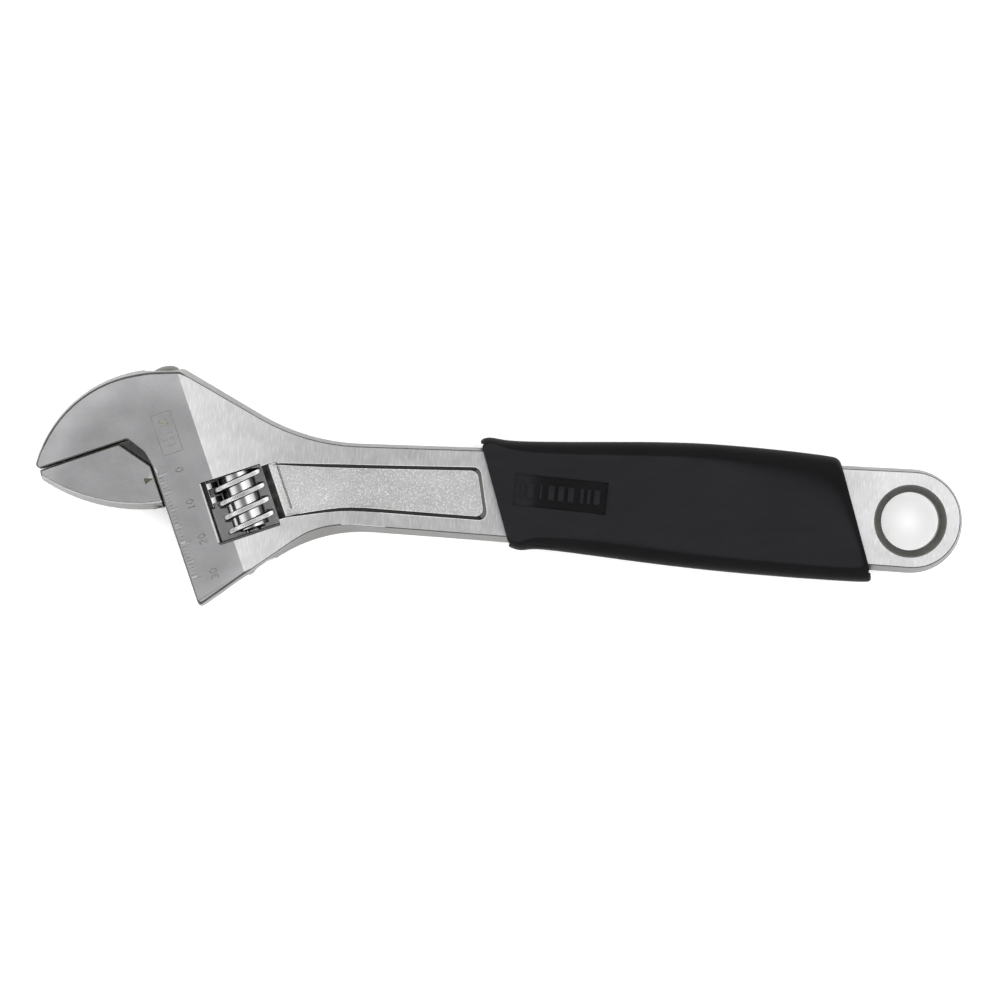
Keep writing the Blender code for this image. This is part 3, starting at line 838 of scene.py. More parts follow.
@dataclass
class Forging:
    """The forged body: fixed jaw, head, shank with its panels, and tail lug.

    Attributes:
        frames: Where things are on the wrench.
        crease: Where the head's flat ends, from the throat.
        half_head: Half the head's thickness.
        fine_edge: Rounding of the edges round the mouth, the slide and the bores.
        worn_edge: Further rounding of the outline and the panels.
        lip: Further rounding of the window's edge next to the slide.
        rim: Further rounding of the window's edge at its foot.
        window: The worm window's left, right, low and high sides in the jaw frame.
        mark_depth: Depth of the scale's marks.
        scale_zero: Where the scale starts, in the jaw frame.
        scale_length: The scale's last line.
        numeral_height: Height of its numerals.
        plate_centre: Where the empty nameplate is, in the jaw frame.
        plate_size: Its width and height.
        plate_stroke: The width of its frame's line.
        bore_at: Where the bore for the stem runs, in the jaw frame.
        bore_reach: Radius within which everything belongs to the bore.
        ledge_line: Where the ledge beside the window ends and the panel begins.
        lug_start: Where the tail lug begins, along the handle.
        scale_lines: Lengths of the scale's lines for tens, fives and ones, and their width.
        scale_start: Where the lines start, from the slide edge.
        numeral_at: Where the numerals stand, from the slide edge, and how far below their line.
        type_size: Type size for a numeral of height 1.
        ledge_cut: Width and depth of the line beside the ledge, and how much it is shorter than
            the window.
        recess: The panel's left, right, low and high ends in the handle frame.
        recess_depth: How deep the panel is.
        neck_length: How far behind the crease the neck stops getting thinner.
        half_neck: Half the thickness there.
        thinning: How fast half the thickness falls from there to the tail.
        hang_rim: Radius of the hang hole's chamfer.
        mouth: How far the mouth's edges reach from the throat, along and across the clamping face.
        lip_reach: How far the lip's rounding reaches from the window.
        rim_reach: How far the rim's rounding reaches.
        ramp_reach: How far the finger ramp reaches.
        bore_top: Where the bore's painted shade ends, below the head's upper outline.
        plate_bars: Where the nameplate's thin bars are, as parts of its height from its middle.
    """

    frames: WrenchFrames
    crease: float = 14.7
    half_head: float = 8.5
    fine_edge: float = 0.05
    worn_edge: float = 0.18
    lip: float = 0.70
    rim: float = 0.80
    window: tuple[float, float, float, float] = (11.2, 28.25, -34.9, -17.9)
    mark_depth: float = 0.12
    scale_zero: float = -12.1
    scale_length: int = 30
    numeral_height: float = 2.3
    plate_centre: tuple[float, float] = (6.7, -1.9)
    plate_size: tuple[float, float] = (5.6, 11.4)
    plate_stroke: float = 0.22
    bore_at: float = 10.9
    bore_reach: float = 5.4
    ledge_line: float = 32.5
    lug_start: float = -30.0
    scale_lines: tuple[float, float, float, float] = (2.9, 2.1, 1.4, 0.16)
    scale_start: float = 0.75
    numeral_at: tuple[float, float] = (6.9, 0.4)
    type_size: float = 1.35
    ledge_cut: tuple[float, float, float] = (0.28, 0.3, 5.0)
    recess: tuple[float, float, float, float] = (-182.0, -115.0, -10.5, 8.4)
    recess_depth: float = 1.6
    neck_length: float = 40.6
    half_neck: float = 5.5
    thinning: float = 0.0033
    hang_rim: float = 10.3
    mouth: tuple[float, float] = (8.0, 5.0)
    lip_reach: float = 0.8
    rim_reach: float = 0.9
    ramp_reach: float = 2.4
    bore_top: float = 12.0
    plate_bars: tuple[float, ...] = (-0.02, -0.16, -0.30)

    def build(self) -> bpy.types.Object:
        """Makes the forging, dresses it and puts it in the CAD node's place.

        Returns:
            The finished forging.
        """
        body = Bench.copy_of("body", "forged_body")
        body.data.materials.append(FINISHES[SteelZone.FORGED])
        self.score_ledge(body)
        self.engrave_scale(body)
        self.stamp_plate(body)
        Bench.mark_edges(body, self.fine_edge, Bench.sharp)
        Bench.mark_edges(body, self.worn_edge, self.on_outline)
        Bench.mark_edges(body, self.lip, self.on_lip)
        Bench.mark_edges(body, self.rim, self.on_rim)
        Bench.round_marked(body)
        Bench.smooth(body, 32.0)
        self.part_handle(body)
        Bench.even_shading(body)
        self.dress(body)
        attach(body, "handle")
        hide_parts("body")
        return body

    def part_handle(self, body: bpy.types.Object) -> None:
        """Parts the handle's broad faces under the sleeve, and keeps the lug's side of them flat.

        Args:
            body: The forging.
        """
        parting = 2 * self.lug_start
        Bench.part(body, self.frames.handle(parting, 0.0), (1.0, 0.0, 0.0))
        for face in body.data.polygons:
            if self.frames.in_handle(face.center).x > parting and abs(face.normal.z) > 0.9999:
                face.use_smooth = False

    def on_outline(self, edge: bmesh.types.BMEdge) -> bool:
        """Whether a sharp edge belongs to the outer outline or a panel.

        Args:
            edge: The edge.

        Returns:
            True if it does.
        """
        a, b, _ = self.frames.in_jaw(Bench.middle(edge))
        at_window = self.window[0] - 0.5 < a < self.window[1] + 0.5
        at_window = at_window and self.window[2] - 0.5 < b < self.window[3] + 0.5
        return Bench.sharp(edge) and not self.at_mouth(a, b) and not at_window

    def on_lip(self, edge: bmesh.types.BMEdge) -> bool:
        """Whether a sharp edge is the window's rim next to the slide.

        Args:
            edge: The edge.

        Returns:
            True if it is.
        """
        a, b, z = self.frames.in_jaw(Bench.middle(edge))
        left, _, low, high = self.window
        along = abs(a - left) < 0.6 and low + 0.2 < b < high - 0.2
        return Bench.sharp(edge) and along and abs(z) > self.half_head - 0.3

    def on_rim(self, edge: bmesh.types.BMEdge) -> bool:
        """Whether a sharp edge is the window's rim at its foot.

        Args:
            edge: The edge.

        Returns:
            True if it is.
        """
        a, b, z = self.frames.in_jaw(Bench.middle(edge))
        left, right, low, _ = self.window
        along = left + 0.2 < a < right - 0.2 and abs(b - low) < 0.1
        return Bench.sharp(edge) and along and abs(z) > self.shank_half(a) - 0.4

    def engrave_scale(self, body: bpy.types.Object) -> None:
        """Cuts the opening scale's lines and numerals into the front face.

        Args:
            body: The forging.
        """
        tens, fives, ones, width = self.scale_lines
        for opening in range(self.scale_length + 1):
            length = tens if opening % 10 == 0 else fives if opening % 5 == 0 else ones
            place = self.frames.jaw_place(
                self.scale_start + length / 2, self.scale_zero - opening, self.half_head
            )
            Bench.cut_box(body, (length, width, 2 * self.mark_depth), place, FillZone.SCALE)
        for opening in range(0, self.scale_length + 1, 10):
            self.engrave_number(body, opening)

    def stamp_plate(self, body: bpy.types.Object) -> None:
        """Stamps an empty nameplate frame with plain bars into the head's front face.

        Args:
            body: The forging.
        """
        width, height = self.plate_size
        a, b = self.plate_centre
        stroke = self.plate_stroke
        bars = [(0.0, side * height / 2, width + stroke, stroke) for side in (-1, 1)]
        bars += [(side * width / 2, 0.0, stroke, height - stroke) for side in (-1, 1)]
        bars += [(0.0, height * 0.26, width * 0.42, height * 0.16)]
        bars += [(0.0, height * step, width * 0.55, 2 * stroke) for step in self.plate_bars]
        for across, along, long, wide in bars:
            place = self.frames.jaw_place(a + across, b + along, self.half_head)
            Bench.cut_box(body, (long, wide, self.mark_depth), place, FillZone.SCALE)

    def score_ledge(self, body: bpy.types.Object) -> None:
        """Cuts the fine line between the ledge and the panel's floor, on both sides.

        Args:
            body: The forging.
        """
        _, _, low, high = self.window
        stroke, depth, shorter = self.ledge_cut
        for side in (-1, 1):
            height = side * (self.shank_half(self.ledge_line) - self.recess_depth)
            place = self.frames.jaw_place(self.ledge_line, (low + high) / 2 + 0.2, height)
            Bench.cut_box(body, (stroke, high - low - shorter, depth), place)

    def engrave_number(self, body: bpy.types.Object, opening: int) -> None:
        """Cuts one numeral of the scale, its foot towards the window.

        Args:
            body: The forging.
            opening: The number.
        """
        Bench.put_down()
        bpy.ops.object.text_add()
        numeral = bpy.context.active_object
        numeral.data.body = str(opening)
        numeral.data.align_x = "CENTER"
        numeral.data.align_y = "CENTER"
        numeral.data.size = self.numeral_height * self.type_size * MM
        numeral.data.extrude = self.mark_depth * MM
        numeral.data.resolution_u = 3
        Bench.pick(numeral)
        bpy.ops.object.convert(target="MESH")
        numeral = bpy.context.active_object
        numeral.name = f"numeral_{opening}"
        across, below = self.numeral_at
        place = self.frames.jaw_place(across, self.scale_zero - opening - below, self.half_head)
        Bench.settle(numeral, place @ Matrix.Rotation(math.pi / 2, 4, "Z"))
        Bench.faces_out(numeral)
        numeral.data.materials.append(FINISHES[FillZone.SCALE])
        Bench.combine(body, numeral, "DIFFERENCE")

    def dress(self, body: bpy.types.Object) -> None:
        """Gives each surface of the forging its finish, by where it lies and how it faces.

        Args:
            body: The forging.
        """
        zones = [SteelZone.GROUND, SteelZone.BRUSHED, SteelZone.LUG, SteelZone.BLASTED, SteelZone.FORGED]
        zones += [SteelZone.SHADED, SteelZone.RAMP, SteelZone.BEVEL, SteelZone.EDGE]
        paint(body, zones, self.zone_of, FillZone.SCALE)

    def zone_of(self, centre: Vector, normal: Vector) -> SteelZone:
        """The finish of a face of the forging.

        Args:
            centre: The face's middle, in metres.
            normal: The way it faces.

        Returns:
            The finish it carries.
        """
        a, b, z = self.frames.in_jaw(centre)
        x, y, _ = self.frames.in_handle(centre)
        left, right, low, high = self.window
        level = abs(normal.z)
        by_lip = left - self.lip_reach < a < left + CLOSE and low < b < high
        if by_lip and UPRIGHT < level < LEVEL:
            return SteelZone.BEVEL
        # Painted shade: a dark band along the window's foot.
        by_rim = left < a < right and low - self.rim_reach < b < low + CLOSE
        if by_rim and UPRIGHT < level < 0.97:
            return SteelZone.EDGE
        # Painted shade on the window's walls, painted half shade on its ramp.
        in_window = left - 0.05 < a < right + self.ramp_reach and low - 0.4 < b < high + 0.4
        if in_window and level < 0.85:
            return SteelZone.RAMP if level > 0.3 and a > right - 1.0 else SteelZone.SHADED
        # Painted shade in the stem's bore.
        if math.hypot(a - self.bore_at, z) < self.bore_reach and b < self.bore_top:
            return SteelZone.SHADED
        # Painted half shade on the hang hole's chamfer.
        if math.hypot(x, y) < self.hang_rim and level < 0.9:
            return SteelZone.RAMP
        if a < self.crease + 0.05 and level > LEVEL:
            return SteelZone.GROUND
        inside = self.in_recess(centre)
        if a >= self.crease and level > (0.9 if inside else 0.985):
            if inside and abs(z) < self.shank_half(a) - 1.0:
                return SteelZone.BLASTED
            return SteelZone.LUG if x > self.lug_start else SteelZone.BRUSHED
        # Painted shade on the panel's walls, darkened forged tint on those facing the head.
        if a >= self.crease and inside and level > UPRIGHT:
            return SteelZone.FORGED if normal.x < -0.4 else SteelZone.SHADED
        # Painted half shade in the mouth and along the slide.
        if self.at_mouth(a, b) and level <= LEVEL:
            return SteelZone.RAMP
        # Painted shade: dark lines on the sloping roundings, darkened forged tint on the sides.
        return SteelZone.EDGE if level > 0.5 else SteelZone.FORGED

    def at_mouth(self, a: float, b: float) -> bool:
        """Whether a place lies at the mouth or the slide edge."""
        along, across = self.mouth
        return (a < along and abs(b) < across) or (abs(a) < 0.5 and b < 0)

    def shank_half(self, a: float) -> float:
        """Half the forging's thickness behind the head's flat.

        Args:
            a: How far from the throat, along the clamping face.

        Returns:
            Half the thickness there.
        """
        shank_start = self.crease + self.neck_length
        if a <= shank_start:
            rise = self.half_head - self.half_neck
            return self.half_neck + rise * ((shank_start - a) / self.neck_length) ** 2
        return self.half_neck - self.thinning * (a - shank_start)

    def in_recess(self, centre: Vector) -> bool:
        """Whether a place lies within the recessed panel's outline.

        Args:
            centre: The place, in metres.

        Returns:
            True if it does.
        """
        x, y, _ = self.frames.in_handle(centre)
        left, right, low, high = self.recess
        return left < x < right and low < y < high


# ---------------------------------------------------------------- sliding jaw


@dataclass
class SlidingJaw:
    """The lower jaw with its web, stem and rack.

    Attributes:
        frames: Where things are on the wrench.
        fine_edge: Rounding of the edges round the mouth and the slide.
        worn_edge: Further rounding of the lower outline.
        half_thickness: Half the jaw's thickness.
        half_stem: More than half the stem's thickness.
        pointer_tip: The index mark's tip in the jaw frame.
        pointer_length: Its length.
        pointer_half_width: Half its width.
        tooth_land: How deep the rack's spaces are cut, in the jaw frame.
        tooth_step: How far below them the teeth's own finish begins.
        rack_outside: A place beyond the rack, in the jaw frame.
        rack_foot: Where the lowest space is.
        rack_pitch: From one space to the next.
        rack_spaces: How many there are.
    """

    frames: WrenchFrames
    fine_edge: float = 0.07
    worn_edge: float = 0.12
    half_thickness: float = 8.2
    half_stem: float = 5.2
    pointer_tip: tuple[float, float] = (-0.75, -12.5)
    pointer_length: float = 2.5
    pointer_half_width: float = 0.85
    tooth_land: float = 12.36
    tooth_step: float = 0.06
    rack_outside: float = 18.0
    rack_foot: float = -25.4
    rack_pitch: float = 4.0
    rack_spaces: int = 9

    def build(self) -> bpy.types.Object:
        """Makes the jaw, dresses it and puts it in the CAD node's place.

        Returns:
            The finished jaw.
        """
        jaw = Bench.copy_of("sliding_jaw", "lower_jaw")
        jaw.data.materials.append(FINISHES[SteelZone.FORGED])
        self.deepen_rack(jaw)
        Bench.mark_edges(jaw, self.fine_edge, self.on_jaw)
        Bench.mark_edges(jaw, self.worn_edge, self.on_outline)
        Bench.round_marked(jaw)
        self.engrave_pointer(jaw)
        Bench.smooth(jaw, 32.0)
        Bench.even_shading(jaw)
        self.dress(jaw)
        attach(jaw, "jaw")
        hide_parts("sliding_jaw")
        return jaw

    def on_jaw(self, edge: bmesh.types.BMEdge) -> bool:
        """Whether a sharp edge belongs to the jaw itself, not its web or stem."""
        return Bench.sharp(edge) and self.frames.in_jaw(Bench.middle(edge)).x < 0.1

    def on_outline(self, edge: bmesh.types.BMEdge) -> bool:
        """Whether a sharp edge belongs to the jaw's lower outline.

        Args:
            edge: The edge.

        Returns:
            True if it does.
        """
        outwards = sum((face.normal for face in edge.link_faces), Vector())
        lower = outwards.dot(self.frames.closing) < -0.2
        return Bench.sharp(edge) and self.frames.in_jaw(Bench.middle(edge)).x < -0.5 and lower

    def deepen_rack(self, jaw: bpy.types.Object) -> None:
        """Divides the stem's faces at the teeth's foot, then mills the spaces clear of the thread.

        Args:
            jaw: The jaw.
        """
        foot = self.frames.jaw(self.tooth_land - self.tooth_step, 0.0)
        Bench.part(jaw, foot, self.frames.along_face)
        length = self.rack_outside - self.tooth_land
        size = (length, 0.6 * self.rack_pitch, 2 * self.half_stem)
        for space in range(self.rack_spaces):
            along = self.rack_foot + space * self.rack_pitch
            Bench.cut_box(jaw, size, self.frames.jaw_place(self.tooth_land + length / 2, along))

    def engrave_pointer(self, jaw: bpy.types.Object) -> None:
        """Cuts the filled triangle that points at the scale.

        Args:
            jaw: The jaw.
        """
        Bench.put_down()
        radius = 1.0
        bpy.ops.mesh.primitive_cylinder_add(vertices=3, radius=radius, depth=1.0)
        mark = bpy.context.active_object
        tip_turn = Matrix.Rotation(-math.pi / 2, 4, "Z")
        Bench.settle(mark, tip_turn)
        length = self.pointer_length / (1.5 * radius)
        width = self.pointer_half_width / (math.sqrt(3) / 2 * radius)
        mark.scale = (length * MM, width * MM, 0.3 * MM)
        Bench.settle(mark)
        a, b = self.pointer_tip
        Bench.settle(
            mark, self.frames.jaw_place(a - self.pointer_length * 2 / 3, b, self.half_thickness)
        )
        mark.data.materials.append(FINISHES[FillZone.POINTER])
        Bench.combine(jaw, mark, "DIFFERENCE")

    def dress(self, jaw: bpy.types.Object) -> None:
        """Gives each surface of the jaw its finish.

        Args:
            jaw: The jaw.
        """
        zones = [SteelZone.GROUND, SteelZone.FORGED, SteelZone.BEVEL, SteelZone.SHADED, SteelZone.RAMP]
        paint(jaw, zones, self.zone_of, FillZone.POINTER)

    def zone_of(self, centre: Vector, normal: Vector) -> SteelZone:
        """The finish of a face of the sliding jaw.

        Args:
            centre: The face's middle, in metres.
            normal: The way it faces.

        Returns:
            The finish it carries.
        """
        a, b, z = self.frames.in_jaw(centre)
        level = abs(normal.z)
        # Painted half shade on the stem's end.
        if b > 12.0:
            return SteelZone.RAMP
        # Painted shade on the web and stem; the teeth's lands keep plain ground steel.
        if a > 0.2:
            foot = self.tooth_land - self.tooth_step
            tooth = foot < a < foot + 1.1 and normal.dot(self.frames.along_face) > 0.3
            return SteelZone.GROUND if tooth and level > 0.5 else SteelZone.SHADED
        # Painted shade on the walls beside the slide.
        if a > -0.6 and level < SLOPING:
            return SteelZone.SHADED
        if level > LEVEL and abs(z) > self.half_thickness - 0.5:
            return SteelZone.GROUND
        # Painted half shade on roundings that face the closing side, plain bevel steel on the others.
        if level > SLOPING and normal.dot(self.frames.closing) > -0.2:
            return SteelZone.RAMP
        return SteelZone.BEVEL if level > SLOPING else SteelZone.FORGED


# ---------------------------------------------------------------- worm, pin and spring


@dataclass
class AdjustingWorm:
    """The knurled worm: one right-handed thread with milled crests on a polished core.

    Attributes:
        frames: Where things are on the wrench.
        length: The worm's length.
        pitch: Travel of the jaw for one turn.
        core_radius: Radius between the turns.
        crest_radius: Radius over the knurling.
        crest_half: Half the crest's width.
        root_half: Half the thread's width at the core.
        thread_shift: Where the thread that faces the rack stands, from the worm's middle.
        teeth: Knurl teeth in one turn.
        knurl_depth: Depth of the knurling.
        bore_radius: Radius of the bore for the pin.
        foot_gap: How much shorter the worm is at its foot, where the spring shows.
        ease: How much the thread's corners are eased.
        pocket_radius: Radius of the spring's pocket.
        pocket_depth: How deep the pocket is, from the end of the full length.
        rod_sides: Sides of a round cutter.
        rod_turn: How far a cutter is turned, so that its edges miss the thread's, in radians.
        spare_turns: How many pitches the closed bar is longer than the worm, at each end.
    """

    frames: WrenchFrames
    length: float = 16.4
    pitch: float = 4.0
    core_radius: float = 5.0
    crest_radius: float = 7.05
    crest_half: float = 0.56
    root_half: float = 0.8
    thread_shift: float = 1.0
    teeth: int = 90
    knurl_depth: float = 0.28
    bore_radius: float = 2.6
    foot_gap: float = 0.8
    ease: float = 0.12
    pocket_radius: float = 4.0
    pocket_depth: float = 4.7
    rod_sides: int = 96
    rod_turn: float = 0.013
    spare_turns: float = 2.6

    def build(self) -> bpy.types.Object:
        """Makes the worm, dresses it and puts it in the CAD node's place.

        Returns:
            The finished worm.
        """
        worm = self.threaded_bar()
        self.mill_crests(worm)
        self.close_ends(worm)
        self.trim(worm)
        Bench.settle(worm, self.place())
        Bench.faces_out(worm)
        Bench.smooth(worm, 40.0)
        self.dress(worm)
        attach(worm, "adjuster")
        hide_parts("worm")
        return worm

    def place(self) -> Matrix:
        """Takes the worm's own frame, Z along its axis and X away from the stem, to its place."""
        columns = (self.frames.along_face, Vector((0, 0, -1)), self.frames.closing)
        turn = Matrix(columns).transposed().to_4x4()
        return Matrix.Translation(self.frames.worm_centre) @ turn

    def profile(self) -> list[tuple[float, float]]:
        """Draws one pitch of the thread's outline, its corners eased.

        Returns:
            The outline's points as (radius, height).
        """
        ease = self.ease
        return [
            (self.core_radius, self.pitch / 2),
            (self.core_radius, self.root_half + ease),
            (self.core_radius + ease, self.root_half),
            (self.crest_radius - ease, self.crest_half + 0.02),
            (self.crest_radius, self.crest_half - ease),
            (self.crest_radius, 0.0),
            (self.crest_radius, ease - self.crest_half),
            (self.crest_radius - ease, -self.crest_half - 0.02),
            (self.core_radius + ease, -self.root_half),
            (self.core_radius, -self.root_half - ease),
            (self.core_radius, -self.pitch / 2),
        ]

    def threaded_bar(self) -> bpy.types.Object:
        """A threaded bar longer than the worm, about Z.

        Returns:
            The bar, open at both ends.
        """
        turns = math.ceil(self.length / self.pitch) + 2
        points = self.profile()
        Bench.put_down()
        bpy.ops.mesh.primitive_circle_add(vertices=len(points), radius=self.crest_radius * MM)
        bar = bpy.context.active_object
        bar.name = "worm_screw"
        start = self.thread_shift - self.pitch * math.ceil(turns / 2)
        for vert, (radius, height) in zip(bar.data.vertices, points):
            vert.co = Vector((-radius, 0, height + start)) * MM
        with Bench.editing(bar):
            last = len(points) - 1
            Bench.choose(bar, "EDGE", lambda edge: {v.index for v in edge.verts} == {0, last})
            bpy.ops.mesh.delete(type="EDGE")
        Bench.apply(
            bar,
            "SCREW",
            axis="Z",
            angle=2 * math.pi,
            screw_offset=self.pitch * MM,
            iterations=turns,
            steps=2 * self.teeth,
            render_steps=2 * self.teeth,
            use_merge_vertices=False,
        )
        with Bench.editing(bar):
            bpy.ops.mesh.select_all(action="SELECT")
            bpy.ops.mesh.remove_doubles(threshold=WELD)
        return bar

    def mill_crests(self, bar: bpy.types.Object) -> None:
        """Presses every other line across the crest inwards, so that the crest is knurled.

        Args:
            bar: The threaded bar.
        """
        line = math.pi / self.teeth
        rim = (self.crest_radius - 0.02) * MM

        def between_teeth(vert: bmesh.types.BMVert) -> bool:
            """Whether a vertex of the crest lies on a line that is pressed in."""
            outside = math.hypot(vert.co.x, vert.co.y) > rim
            return outside and round(math.atan2(vert.co.y, vert.co.x) / line) % 2 == 0

        with Bench.editing(bar):
            Bench.choose(bar, "VERT", between_teeth)
            shrink = 1.0 - self.knurl_depth / self.crest_radius
            bpy.ops.transform.resize(value=(shrink, shrink, 1.0), center_override=(0.0, 0.0, 0.0))

    def close_ends(self, bar: bpy.types.Object) -> None:
        """Draws both ends out flat and fills them.

        Args:
            bar: The threaded bar.
        """
        for side in (-1, 1):
            flat = side * (self.length / 2 + self.spare_turns * self.pitch) * MM
            with Bench.editing(bar) as mesh:
                mesh.edges.ensure_lookup_table()
                Bench.choose(bar, "EDGE", lambda e: e.is_boundary and side * e.verts[0].co.z > 0)
                bpy.ops.mesh.extrude_region_move()
                bpy.ops.transform.resize(value=(1.0, 1.0, 0.0), center_override=(0.0, 0.0, flat))
                bpy.ops.mesh.edge_face_add()
        Bench.faces_out(bar)
        with Bench.editing(bar):
            bpy.ops.mesh.select_all(action="SELECT")
            bpy.ops.mesh.remove_doubles(threshold=WELD)
            bpy.ops.mesh.dissolve_degenerate(threshold=1e-6)

    def trim(self, bar: bpy.types.Object) -> None:
        """Cuts the bar to the worm's length, with its bore and its spring pocket.

        Args:
            bar: The closed threaded bar.
        """
        keep = self.rod(self.crest_radius + 1.0, self.foot_gap - self.length / 2, self.length / 2)
        Bench.combine(bar, keep, "INTERSECT")
        beyond = self.length
        Bench.combine(bar, self.rod(self.bore_radius, -beyond, beyond), "DIFFERENCE")
        pocket_top = self.pocket_depth - self.length / 2
        Bench.combine(bar, self.rod(self.pocket_radius, -beyond, pocket_top), "DIFFERENCE")

    def rod(self, radius: float, low: float, high: float) -> bpy.types.Object:
        """A plain rod about Z to cut with.

        Args:
            radius: Its radius.
            low: Where it starts.
            high: Where it ends.

        Returns:
            The rod, turned a little so that its edges miss the thread's.
        """
        Bench.put_down()
        middle = (0, 0, (low + high) / 2 * MM)
        bpy.ops.mesh.primitive_cylinder_add(
            vertices=self.rod_sides, radius=radius * MM, depth=(high - low) * MM, location=middle
        )
        rod = bpy.context.active_object
        Bench.settle(rod, Matrix.Rotation(self.rod_turn, 4, "Z"))
        return rod

    def dress(self, worm: bpy.types.Object) -> None:
        """Polishes the core, gives the knurled crests their own finish and darkens the flanks with
        painted shade.

        Args:
            worm: The worm.
        """
        paint(worm, [SteelZone.POLISHED, SteelZone.SHADED, SteelZone.CREST], self.zone_of)

    def zone_of(self, centre: Vector, _normal: Vector) -> SteelZone:
        """The finish of a face of the worm, by how far it is from the axis.

        Args:
            centre: The face's middle, in metres.
            _normal: The way it faces; not used.

        Returns:
            The finish it carries.
        """
        offset = (centre - self.frames.worm_centre) / MM
        axis = self.frames.closing
        radius = (offset - axis * offset.dot(axis)).length
        if radius > self.crest_radius - self.knurl_depth - 0.1:
            return SteelZone.CREST
        # Painted shade on the thread's flanks.
        return SteelZone.SHADED if radius > self.core_radius + 0.2 else SteelZone.POLISHED


@dataclass
class WormAxle:
    """The worm's pin and the small spring round it.

    Attributes:
        frames: Where things are on the wrench.
        rounding: Rounding of the pin's edges.
    """

    frames: WrenchFrames
    rounding: float = 0.12

    def build(self) -> list[bpy.types.Object]:
        """Makes the pin and the spring, and puts them in the CAD nodes' places.

        Returns:
            The pin and the spring.
        """
        pin = Bench.copy_of("worm_pin", "slotted_pin")
        Bench.mark_edges(pin, self.rounding, Bench.sharp)
        Bench.round_marked(pin)
        spring = Bench.copy_of("worm_spring", "take_up_spring")
        Bench.apply(spring, "SUBSURF", levels=1, render_levels=1)
        for piece, node in ((pin, "worm_pin"), (spring, "worm_spring")):
            Bench.smooth(piece, 40.0)
            paint(piece, [SteelZone.POLISHED], lambda _centre, _normal: SteelZone.POLISHED)
            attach(piece, "handle")
            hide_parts(node)
        return [pin, spring]


# ---------------------------------------------------------------- grip


